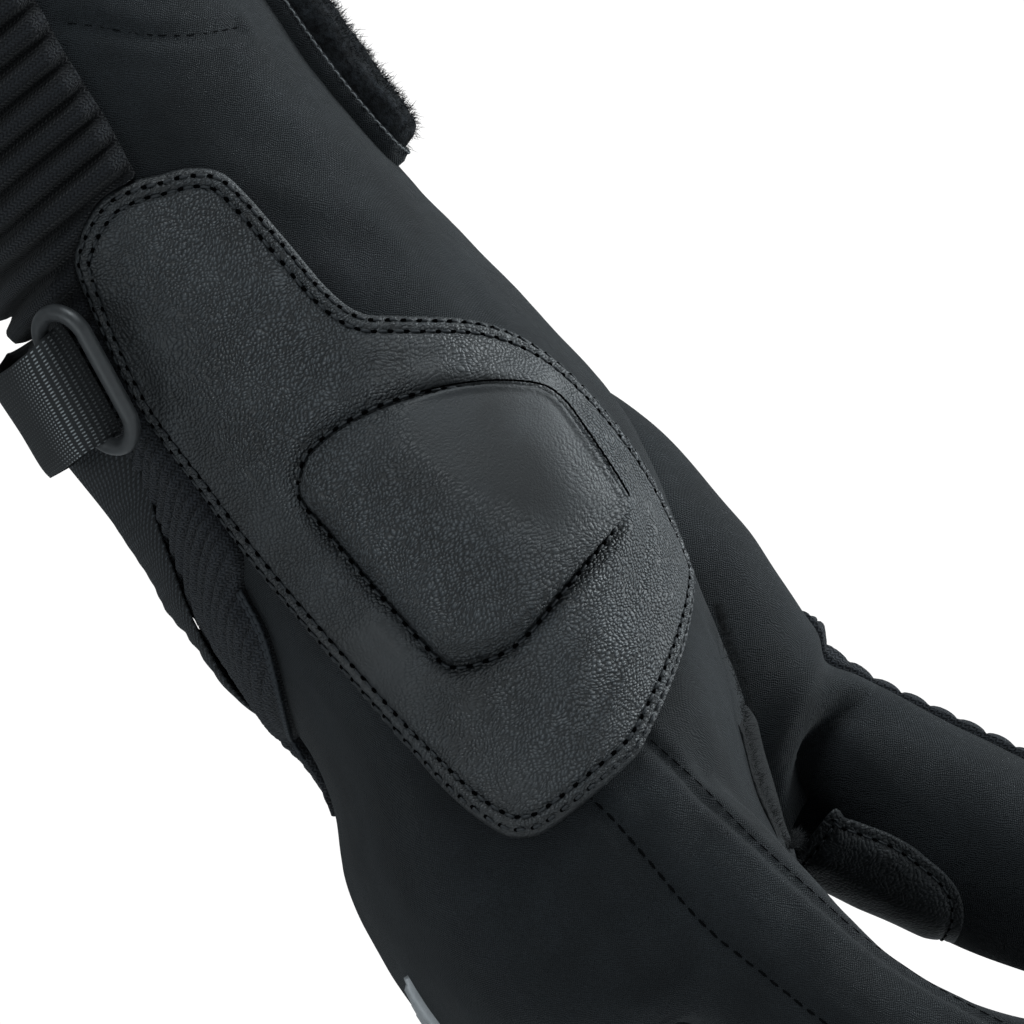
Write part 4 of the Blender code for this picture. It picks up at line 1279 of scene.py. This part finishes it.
piping_black = plain_black("piping", (0.016, 0.019, 0.023), 0.7)
seam_line = from_side(curved(ACCORDION_LOWER_SEAM, 0.0005)[:-8])
piping = [lifted_path(seam_line + (shift, 0), 0.0006) for shift in (-0.0001, 0.0008)]
sewing("wrist_accordion_piping", piping, 0.0012, 0.0006, piping_black, share=1.5)


# The thumb's accordion: the same knit in rounder ribs, sewn along the outside of the thumb, where it
# stretches when the thumb bends.
THUMB_RIB_PITCH = 0.0042
THUMB_RIB_HEIGHT = 0.0007
THUMB_RIB_SPAN = (0.462, 0.885)
THUMB_RIB_TURN = (-2.0, 92.0)


def oblong(turns, span, step):
    """A rounded oblong on the unrolled thumb between two angles and two places along it."""
    left, right = sorted(turns)
    first, last = span
    pull = (right - left) * 0.06
    short = (last - first) * 0.05
    corners = (
        (left + pull, first), ((left + right) / 2, first), (right - pull, first), (right, first + short),
        (right, (first + last) / 2), (right, last - short), (right - pull, last), ((left + right) / 2, last),
        (left + pull, last), (left, last - short), (left, (first + last) / 2), (left, first + short),
    )
    return curved([thumb_place(a, b) for a, b in corners], step, loop=True)


def thumb_rib_lift(flat, edge):
    along = -flat[:, 1] / THUMB_LENGTH
    ribs = flat[:, 1] / THUMB_RIB_PITCH
    over_crease = 0.0012 * bell(along - 0.535, 0.040)
    lift = over_crease + THUMB_RIB_HEIGHT * np.abs(np.sin(np.pi * ribs)) ** 0.5
    sewn_in = ease((along - THUMB_RIB_SPAN[0]) / 0.03)
    return 0.0002 + lift * (0.25 + 0.75 * ease(edge / 0.0020)) * sewn_in


thumb_rib_loop = oblong([turn + 360 for turn in THUMB_RIB_TURN], THUMB_RIB_SPAN, 0.0006)
thumb_ribs, thumb_rib_flat, _ = sewn_sheet(
    "thumb_accordion_knit", thumb_rib_loop, 0.0005, thumb_rib_lift, surface=thumb_roll
)
# Painted light and shade: the knit is lighter on each rib's top than between the ribs, and its side walls
# take a middle value.
thumb_beat = np.abs(np.sin(np.pi * thumb_rib_flat[:, 1] / THUMB_RIB_PITCH))
thumb_rib_painted_shading = np.full(len(thumb_ribs.data.vertices), 1.4)
thumb_rib_painted_shading[: len(thumb_beat)] = 1.1 + 0.9 * thumb_beat
paint_value(thumb_ribs, "crest", thumb_rib_painted_shading)
thumb_ribs.data.materials.append(rib_knit)
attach(thumb_ribs, "root")
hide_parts("thumb_accordion")


# The thumb's patch: a small, thin piece of the same leather on the inside of the thumb, where it rubs
# against the hand. It is sewn down with one row of thread close to its edge.
THUMB_PATCH_EDGE = (
    (0.0195, -0.1622), (0.0220, -0.1644), (0.0248, -0.1688), (0.0266, -0.1738), (0.0273, -0.1788),
    (0.0264, -0.1822), (0.0236, -0.1852),
)
THUMB_PATCH_CORNER = 150.0
THUMB_PATCH_BACK = 128.0
THUMB_PATCH_ROW = 0.0015
THUMB_PATCH_GRAIN = 0.22
THUMB_PATCH_THREAD = 0.8


def on_thumb(line):
    """Places on the unrolled thumb of points that the camera sees, as forward and height."""
    angles, along = np.meshgrid(np.linspace(184, 352, 169), np.linspace(0.45, 0.95, 251))
    grid = thumb_surface(angles, along)[..., (0, 2)].reshape(-1, 2)
    nearest = [np.argmin(((grid - point) ** 2).sum(axis=1)) for point in line]
    return np.stack(thumb_place(angles.ravel()[nearest], along.ravel()[nearest]), axis=1)


def thumb_patch_lift(flat, edge):
    lift = -0.0003 + 0.0007 * ease(edge / 0.0040) - 0.0002 * bell(edge - THUMB_PATCH_ROW, 0.0004)
    return lift + 0.00025 * ease(edge / 0.004) * waviness(flat, 0.008, 51.0)


thumb_patch_front = on_thumb(curved(THUMB_PATCH_EDGE, 0.0015))
first, last = -thumb_patch_front[[0, -1], 1] / THUMB_LENGTH
thumb_patch_back = [
    thumb_place(THUMB_PATCH_CORNER, last), thumb_place(THUMB_PATCH_BACK, last - 0.03),
    thumb_place(THUMB_PATCH_BACK, first + 0.04), thumb_place(THUMB_PATCH_CORNER, first),
]
thumb_patch_loop = curved(np.vstack([thumb_patch_front[::2], thumb_patch_back]), 0.0006, loop=True)
thumb_patch, _, _ = sewn_sheet(
    "thumb_patch_leather", thumb_patch_loop, 0.0005, thumb_patch_lift, surface=thumb_roll
)
paint_value(thumb_patch, "grain", np.full(len(thumb_patch.data.vertices), THUMB_PATCH_GRAIN))
thumb_patch.data.materials.append(leather)
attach(thumb_patch, "root")
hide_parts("thumb_patch")
thumb_patch_row = lifted_path(
    evenly(inset(thumb_patch_loop, THUMB_PATCH_ROW), 0.0004), -0.0002, thumb_roll
)
sewing(
    "thumb_patch_stitches", [thumb_patch_row], STITCH_PITCH, THREAD * THUMB_PATCH_THREAD, thread_black,
    NEEDLE_HOLE * THUMB_PATCH_THREAD,
)


# The palm panel: thin synthetic suede over the palm for grip, with its upper end sewn in under the
# softshell. Its raw edge shows beside the thumb, soft and fuzzy.
PALM_PANEL = (
    (-0.0100, -0.1332), (0.0040, -0.1314), (0.0120, -0.1450), (0.0300, -0.1559), (0.0290, -0.1608),
    (-0.0220, -0.1608), (-0.0240, -0.1537), (-0.0220, -0.1439), (-0.0170, -0.1363),
)
HAIR_SPREAD = 0.7


def make_suede():
    material, tree, vector = new_material("grip_suede")
    nap = add_noise(tree, vector, 2.2, 4.0, 0.7)
    brushed = add_noise(tree, vector, 0.25, 3.0, 0.6)
    lit = add_range(tree, plus(tree, times(tree, nap, 0.5), times(tree, brushed, 0.6)), 0.35, 0.8, 0, 1)
    colour = add_tint(tree, lit, (0.0008, 0.0010, 0.0012), (0.0055, 0.0063, 0.0074))
    finish(tree, colour, add_bump(tree, nap, 0.00025), roughness=0.95, specular=0.15, sheen=0.05)
    return material


def fibres(points, out, count, length, thread, seed):
    """Points and faces of short bent hairs standing on some of these points."""
    rng = np.random.default_rng(seed)
    chosen = rng.integers(0, len(points), count)
    start = points[chosen] + rng.normal(0, 0.00018, (count, 3))
    lean = unit(out[chosen] + rng.normal(0, HAIR_SPREAD, (count, 3)))
    bend = rng.normal(0, HAIR_SPREAD, (count, 3))
    long = length * rng.uniform(0.5, 1.25, (count, 1))
    side = unit(np.cross(lean, rng.normal(0, 1, (count, 3))))
    other = np.cross(lean, side)
    rows = []
    for share, wide in ((0.0, 1.0), (0.5, 0.9), (1.0, 0.25)):
        centre = start + lean * long * share + bend * long * share**2 * 0.35
        for k in range(3):
            turn = 2 * np.pi * k / 3
            rows.append(centre + (side * math.cos(turn) + other * math.sin(turn)) * thread / 2 * wide)
    made = np.stack(rows, axis=1)
    faces = []
    for first in range(0, count * 9, 9):
        faces += ring_faces(3, 3, first)
        faces.append([first + 6, first + 7, first + 8])
    return made.reshape(-1, 3), faces


def fuzz(name, points, out, count, length, thread, seed, material):
    """A piece of short hairs standing on some of these points."""
    made, faces = fibres(points, out, count, length, thread, seed)
    mesh = bpy.data.meshes.new(name)
    mesh.from_pydata(made.tolist(), [], faces)
    mesh.shade_smooth()
    piece = bpy.data.objects.new(name, mesh)
    bpy.context.scene.collection.objects.link(piece)
    piece.data.materials.append(material)
    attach(piece, "root")


def panel_lift(flat, edge):
    ragged = 0.00012 * waviness(flat, 0.0012, 61.0) * bell(edge, 0.0015)
    sewn_under = ease((flat[:, 1] + 0.1465) / 0.006)
    lift = -0.0004 - 0.0016 * sewn_under + (1 - sewn_under) * 0.0008 * ease(edge / 0.010)
    return lift + ragged + 0.0001 * waviness(flat, 0.010, 62.0)


suede = make_suede()
panel_loop = from_palm(evenly(np.vstack([PALM_PANEL, PALM_PANEL[:1]]), 0.0005))
palm_panel, _, _ = sewn_sheet("palm_panel_suede", panel_loop, 0.0006, panel_lift)
palm_panel.data.materials.append(suede)
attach(palm_panel, "root")
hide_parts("palm_panel")
panel_edge, panel_out = lifted_path(evenly(panel_loop, 0.0003), 0.0012)
fuzz(
    "palm_panel_frayed_edge", panel_edge - panel_out * 0.0009, panel_out,
    count=2600, length=0.0012, thread=0.00005, seed=63, material=suede,
)


# The wrist strap: 15 mm webbing sewn in on the thumb's side and led round the back of the wrist, over
# the ribs. It passes round the ring's inner bar and is folded back under itself.
GAP = 0.0004
RIBBED = 0.0032
WEBBING = 0.0013
WEBBING_WIDTH = 0.0150
FOLD_ROOM = 0.0014
RING_WIRE = 0.0022
RING_ANGLE = 222.0
RING_FAR_ANGLE = 233.5
RING_TILT = math.radians(-15.0)
STRAP_SEWN_ANGLE = 118.0
STRAP_RISE_ANGLE = 178.0
STRAP_END_ANGLE = 202.0
STRAP_TUCK = 0.0012
FOLD_FLATTENED = 0.0010
GRID_ALONG = 0.94
GRID_ACROSS = 0.47

strap_lift = RIBBED + 3 * GAP + WEBBING / 2
bar_lift = strap_lift + WEBBING / 2 + FOLD_ROOM + RING_WIRE / 2
ring_bar = hand_surface(RING_ANGLE, -CUFF_LENGTH, bar_lift)
ring_across = unit(hand_surface(RING_FAR_ANGLE, -CUFF_LENGTH, bar_lift - RING_WIRE / 3) - ring_bar)
ring_long = np.array((0, 0, 1.0)) * math.cos(RING_TILT) - ring_across * math.sin(RING_TILT)


def strap_line(up):
    """The webbing's middle layer, this far above its middle line, from the seam to its folded end."""
    z = -CUFF_LENGTH + up
    spread = 0.40 * max(up, 0.0)
    lean = ring_bar + ring_long * up / ring_long[2] - hand_surface(RING_ANGLE, z, bar_lift)
    wrap = bar_lift - strap_lift
    line = []
    for angle in np.arange(STRAP_SEWN_ANGLE, STRAP_RISE_ANGLE, 3.0):
        free = float(ease((angle - STRAP_SEWN_ANGLE) / 10))
        line.append(hand_surface(angle, z + spread, (strap_lift + STRAP_TUCK) * free - STRAP_TUCK))
    for share in np.linspace(0, 1, 16)[:-1]:
        rise = 2 * wrap * min(1.0, 1.5 * float(ease(share)))
        turn = STRAP_RISE_ANGLE + (RING_ANGLE - 5 - STRAP_RISE_ANGLE) * share
        line.append(hand_surface(turn, z + spread * (1 - share), strap_lift + rise) + lean * share)
    bar = hand_surface(RING_ANGLE, z, bar_lift) + lean
    out = unit(hand_surface(RING_ANGLE, z, bar_lift + wrap) + lean - bar)
    forward = np.cross((0, 0, 1.0), out)
    fold = len(line)
    for turn in np.radians(np.arange(0, 181, 12)):
        reach = math.sin(turn) * (wrap - FOLD_FLATTENED)
        line.append(bar + out * math.cos(turn) * wrap + forward * reach)
    for share in np.linspace(0, 1, 10)[1:]:
        angle = RING_ANGLE + (STRAP_END_ANGLE - RING_ANGLE) * share
        line.append(hand_surface(angle, z, strap_lift) + lean * (1 - share))
    return np.array(line), fold


def banded(rows, thickness):
    """Rings round a strip of this thickness, from its lines of points, and places along and across it."""
    grid = np.array(rows)
    out = unit(np.cross(np.gradient(grid, axis=0), np.gradient(grid, axis=1)))
    width = np.linspace(-1, 1, len(rows))
    full = thickness / 2 * (1 - np.abs(width) ** 6 * 0.75)
    top = grid + out * full[:, None, None]
    bottom = grid - out * full[:, None, None]
    rings = np.concatenate([top, bottom[::-1]], axis=0).transpose(1, 0, 2)
    along = travelled(grid[len(rows) // 2])
    across = np.concatenate([width, width[::-1]])
    return rings, np.repeat(along, len(across)), np.tile(across, len(along))


def make_webbing(name, dark, light, weave):
    """Woven tape. weave gives its pattern's height from the millimetres along and across it."""
    material, tree, vector = new_material(name)
    height = weave(tree, add_value(tree, "along"), add_value(tree, "across"))
    uneven = add_noise(tree, vector, 2.2, 3.0, 0.7)
    # The value painted along the strap scales how light its threads are; on the wrist strap it adds a painted
    # highlight at the fold round the ring's bar.
    worn = times(tree, add_range(tree, uneven, 0.3, 0.7, 0.55, 1.25), add_value(tree, "tone_and_highlight"))
    lit = times(tree, add_range(tree, height, 0.15, 1.0, 0.0, 1.0), worn)
    bump = add_bump(tree, plus(tree, height, times(tree, uneven, 0.4)), 0.00022)
    finish(tree, add_tint(tree, lit, dark, light), bump, roughness=0.75, specular=0.3)
    return material


def grid_weave(tree, along, across):
    """Rows of short light floats in a grid."""
    floats = add_range(tree, wave(tree, along, GRID_ALONG), -0.5, 0.6, 0, 1)
    return times(tree, floats, add_range(tree, wave(tree, across, GRID_ACROSS), -0.3, 0.7, 0, 1))


def make_strap(name, rows, tone_and_highlight, material, node):
    """A strap of webbing from its lines of points, with how light its threads are along it, a painted
    highlight included.
    """
    rings, along, across = banded(rows, WEBBING)
    points, faces = closed_tube(rings)
    piece = new_piece(name, points, faces)
    paint_value(piece, "along", along * 1000)
    paint_value(piece, "across", across * WEBBING_WIDTH / 2 * 1000)
    paint_value(piece, "tone_and_highlight", tone_and_highlight(along))
    piece.data.materials.append(material)
    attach(piece, "root")
    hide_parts(node)


def fold_painted_highlight(along):
    """Dark threads, with a painted highlight along the fold round the ring's bar."""
    return 0.10 + 1.0 * bell(along - fold_at - 0.0002, 0.0034)


webbing = make_webbing("webbing", (0.012, 0.013, 0.014), (0.30, 0.32, 0.33), grid_weave)
strap_rows = [strap_line(up)[0] for up in np.linspace(-WEBBING_WIDTH / 2, WEBBING_WIDTH / 2, 21)]
middle_row, fold_start = strap_line(0.0)
fold_at = travelled(middle_row)[fold_start]
make_strap("wrist_strap_webbing", strap_rows, fold_painted_highlight, webbing, "wrist_strap")


# The back strap: twill tape of the same width, sewn in under the wrist strap and led down across the
# back of the hand, over the ribs. Its two edges stand free at first and lie on the ribs below.
BACK_STRAP_EDGES = (
    (
        (-0.0195, -0.0200, -0.0630), (-0.0208, -0.0198, -0.0735), (-0.0232, -0.0185, -0.0790),
        (-0.0250, -0.0165, -0.0840), (-0.0268, -0.0125, -0.0890),
    ),
    (
        (-0.0278, -0.0055, -0.0620), (-0.0277, -0.0045, -0.0735), (-0.0280, -0.0030, -0.0790),
        (-0.0284, -0.0005, -0.0845), (-0.0292, 0.0035, -0.0890),
    ),
)
BACK_STRAP_LOW = (
    ((-0.0035, -0.0960), (0.0060, -0.1035), (0.0200, -0.1105), (0.0300, -0.1170)),
    ((0.0095, -0.0935), (0.0180, -0.0965), (0.0290, -0.1000), (0.0390, -0.1060)),
)
BACK_STRAP_LIFTS = (0.0030, 0.0030, 0.0022, -0.0010)
BACK_STRAP_TONE = 0.55
TWILL_LOOP = 0.62


def back_strap_rows():
    edges = []
    for free, low in zip(BACK_STRAP_EDGES, BACK_STRAP_LOW):
        flat = from_palm(low, back=True)
        lying = roll(flat[:, 0], flat[:, 1], np.array(BACK_STRAP_LIFTS))
        edges.append(curved_points(np.vstack([free, lying]), 14))
    beat = 0.00014 * np.sin(2 * np.pi * np.linspace(0, 17, len(edges[0])))[:, None]
    back = np.array((-1.0, -0.4, 0.0))
    rows = []
    for share in np.linspace(1, 0, 17):
        bulge = 0.0006 * math.sin(math.pi * share) + beat * (1 - 2 * abs(share - 0.5))
        rows.append(edges[0] * (1 - share) + edges[1] * share + back * bulge)
    return rows


def twill_weave(tree, along, across):
    """Diagonal rows of small loops."""
    slant = plus(tree, times(tree, along, 1 / 1.5), times(tree, across, 1 / 1.15))
    rows = add_range(tree, wave(tree, slant, 1.0), -0.6, 0.6, 0, 1)
    return times(tree, rows, add_range(tree, wave(tree, along, TWILL_LOOP), -1, 0.4, 0.35, 1))


def even_tone(along):
    return np.full(len(along), BACK_STRAP_TONE)


twill = make_webbing("twill_tape", (0.0035, 0.0042, 0.0050), (0.060, 0.068, 0.076), twill_weave)
make_strap("back_strap_tape", back_strap_rows(), even_tone, twill, "back_strap")


# The ring: steel wire bent to a long oval and welded shut, with a black satin coating rubbed a little
# glossier by the webbing. It hangs tilted in the fold of the wrist strap.
RING_LENGTH_OUTSIDE = 0.0214
RING_WIDTH_OUTSIDE = 0.0100

ring_half_width = (RING_WIDTH_OUTSIDE - RING_WIRE) / 2
ring_half_length = (RING_LENGTH_OUTSIDE - RING_WIRE) / 2
ring_middle = ring_bar + ring_across * ring_half_width
ring_wide = ring_across * math.cos(RING_TILT) + np.array((0, 0, 1.0)) * math.sin(RING_TILT)
ring_out = np.cross(ring_wide, ring_long)

bpy.ops.object.select_all(action="DESELECT")
bpy.ops.mesh.primitive_torus_add(
    major_segments=72, minor_segments=28, major_radius=ring_half_width, minor_radius=RING_WIRE / 2,
    location=(0, 0, 0), rotation=(0, 0, 0),
)
ring = bpy.context.object
ring.name = "oval_ring_wire"
stretch = ring_half_length - ring_half_width
bpy.ops.object.mode_set(mode="EDIT")
for way in (1, -1):
    bpy.ops.mesh.select_all(action="DESELECT")
    bpy.ops.object.mode_set(mode="OBJECT")
    for vertex in ring.data.vertices:
        vertex.select = way * vertex.co.y > 1e-5
    bpy.ops.object.mode_set(mode="EDIT")
    bpy.ops.transform.translate(value=(0, way * stretch, 0))
bpy.ops.object.mode_set(mode="OBJECT")
bpy.ops.object.shade_smooth()
placed = np.column_stack([ring_wide, ring_long, ring_out, ring_middle])
ring.matrix_world = Matrix([*placed.tolist(), (0, 0, 0, 1)])
bpy.ops.object.transform_apply(location=True, rotation=True, scale=True)


def make_coating():
    """Black powder coating: satin and faintly mottled."""
    material, tree, vector = new_material("coated_wire")
    mottle = add_noise(tree, vector, 1.1, 3.0, 0.5)
    colour = add_tint(tree, mottle, (0.012, 0.013, 0.014), (0.034, 0.036, 0.038))
    pitted = add_bump(tree, add_noise(tree, vector, 6.0, 2.0, 0.5), 0.00001)
    finish(tree, colour, pitted, add_range(tree, mottle, 0.3, 0.7, 0.36, 0.50))
    return material


ring.data.materials.clear()
ring.data.materials.append(make_coating())
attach(ring, "root")
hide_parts("oval_ring")


# The closure tab: a stiff tongue of doubled cloth across the cuff's palm side, bound with a fine light
# thread at its edge, faced with unbroken loop pile that stands 3 mm high and fuzzes over its rim.
CLOSURE_TAB = (
    (-0.0165, -0.0110), (0.0000, -0.0097), (0.0240, -0.0097), (0.0330, -0.0120), (0.0330, -0.0300),
    (0.0330, -0.0510), (0.0270, -0.0555), (0.0080, -0.0600), (-0.0050, -0.0625), (-0.0095, -0.0620),
    (-0.0130, -0.0588), (-0.0165, -0.0468), (-0.0165, -0.0300),
)
TAB_FLOOR = 0.0005
TAB_CLOTH = 0.0013
PILE_INSET = 0.0013
PILE = 0.0029


def tab_lift(flat, edge):
    return TAB_FLOOR + TAB_CLOTH * rounded_edge(edge, 0.0006) - 0.0002 * bell(edge - 0.0010, 0.0003)


def pile_lift(flat, edge):
    tufts = 0.00045 * waviness(flat, 0.0016, 71.0) + 0.00035 * waviness(flat, 0.0035, 72.0)
    return TAB_FLOOR + TAB_CLOTH + PILE * rounded_edge(edge, 0.0026) + tufts * ease(edge / 0.0008)


tab_loop = from_palm(curved(CLOSURE_TAB, 0.0007, loop=True))
tab, _, _ = sewn_sheet("closure_tab_cloth", tab_loop, 0.0008, tab_lift)
tab.data.materials.append(softshell)
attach(tab, "root")
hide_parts("closure_tab")

thread_grey = plain_black("thread_grey", (0.085, 0.090, 0.094), 0.5, 0.4)
tab_edge_path = lifted_path(evenly(inset(tab_loop, 0.0004), 0.0005), 0.0016)
sewing("closure_tab_edge_thread", [tab_edge_path], 0.0012, 0.00030, thread_grey, share=1.05)


def make_pile():
    material, tree, vector = new_material("loop_pile")
    curls = add_noise(tree, vector, 1.1, 5.0, 0.75)
    clumps = add_range(tree, add_noise(tree, vector, 0.35, 2.0, 0.5), 0.35, 0.65, 0.35, 1.0)
    lit = times(tree, add_range(tree, curls, 0.38, 0.66, 0, 1), clumps)
    colour = add_tint(tree, lit, (0.0008, 0.0010, 0.0013), (0.022, 0.025, 0.029))
    finish(tree, colour, add_bump(tree, curls, 0.0005), roughness=0.92, specular=0.15)
    return material


loop_pile = make_pile()
pile_loop = inset(evenly(tab_loop, 0.0007), PILE_INSET)
pile, _, _ = sewn_sheet("closure_pile", pile_loop, 0.0005, pile_lift, base=0.0012)
pile.data.materials.append(loop_pile)
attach(pile, "root")
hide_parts("loop_pile")
fuzz(
    "closure_pile_loops", get_points(pile), get_normals(pile),
    count=9000, length=0.0010, thread=0.00007, seed=73, material=loop_pile,
)


# The reflective insert: a wedge of grey film with glass beads, pressed on to the back of the hand by
# the little finger's knuckle, with its edge rolled down.
REFLECTOR_OUTLINE = ((-0.0235, -0.1434), (-0.0060, -0.1586), (-0.0215, -0.1586))


def film_lift(flat, edge):
    return 0.0002 + 0.0006 * rounded_edge(edge, 0.0004)


def make_film():
    material, tree, vector = new_material("reflective_film")
    beads = add_noise(tree, vector, 9.0, 2.0, 0.5)
    scuffs = add_noise(tree, vector, 0.4, 4.0, 0.6)
    lit = times(tree, plus(tree, beads, scuffs), 0.5)
    colour = add_tint(tree, lit, (0.20, 0.21, 0.22), (0.40, 0.41, 0.42))
    finish(tree, colour, add_bump(tree, beads, 0.00002), roughness=0.42)
    tree.nodes["Principled BSDF"].inputs["Metallic"].default_value = 0.35
    return material


reflector_loop = from_palm(evenly(np.vstack([REFLECTOR_OUTLINE, REFLECTOR_OUTLINE[:1]]), 0.0006), back=True)
reflector, _, _ = sewn_sheet("reflective_wedge", reflector_loop, 0.0008, film_lift)
reflector.data.materials.append(make_film())
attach(reflector, "root")
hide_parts("reflective_insert")


# The cuff's binding: ribbed tape folded over the raw edges of shell, ribs and lining, and sewn through
# with one row of thread.
BINDING_WIDTH = 0.0080
BINDING_TURN_IN = 0.0040
BINDING_TAPE = 0.0010
BINDING_ROW = 0.0062
BINDING_CORDS = 0.75
BINDING_SIDES = 300


def binding_lift(arc):
    """The tape lies flat on the shell and steps up over the ribs."""
    seam, far = accordion_loop[0, 0], accordion_loop[np.argmin(accordion_loop[:, 0]), 0]
    over = ease((seam + 0.002 - arc) / 0.004) * ease((arc - far + 0.002) / 0.004)
    return 0.0006 + 0.0030 * over


def make_binding_tape():
    material, tree, vector = new_material("binding_tape")
    across, _ = flat_place(tree, vector)
    cords = wave(tree, across, BINDING_CORDS)
    height = plus(tree, times(tree, cords, 0.5), add_noise(tree, vector, 2.0, 3.0, 0.6))
    lit = add_range(tree, height, -0.2, 1.2, 0, 1)
    colour = add_tint(tree, lit, (0.004, 0.0045, 0.005), (0.024, 0.026, 0.028))
    finish(tree, colour, add_bump(tree, height, 0.00012), roughness=0.7)
    return material


def make_binding():
    """Rings round the cuff: up the outside, over the edge and down the inside."""
    arcs = np.linspace(arc_at(90.0, 0.0), arc_at(450.0, 0.0), BINDING_SIDES, endpoint=False)
    out = binding_lift(arcs)
    outside = (
        (-BINDING_WIDTH, 0.15 * out), (-BINDING_WIDTH, out + BINDING_TAPE),
        (-BINDING_WIDTH / 2, out + 1.1 * BINDING_TAPE), (-0.0005, out + 1.05 * BINDING_TAPE),
        (0.0005, out + 0.6 * BINDING_TAPE),
    )
    inside_cuff = (
        (0.0009, 0.0), (0.0006, -0.0024), (-0.0006, -0.0032), (-BINDING_TURN_IN, -0.0030),
        (-BINDING_TURN_IN, -0.0022),
    )
    rings = []
    for z, lift in outside + inside_cuff:
        ring_points = roll(arcs, min(z, 0.0), lift)
        ring_points[:, 2] = z
        rings.append(ring_points)
    return new_piece("cuff_binding_tape", np.concatenate(rings), ring_faces(len(rings), BINDING_SIDES))


binding = make_binding()
binding.data.materials.append(make_binding_tape())
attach(binding, "root")
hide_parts("cuff_binding")
round_cuff = np.linspace(arc_at(90.0, 0.0), arc_at(450.0, 0.0), 400)
binding_row = evenly(np.stack([round_cuff, np.full(400, -BINDING_ROW)], axis=1), 0.0006)
binding_path = lifted_path(binding_row, binding_lift(binding_row[:, 0]) + 0.0011)
sewing("cuff_binding_stitches", [binding_path], 0.0026, 0.0004, thread_black)
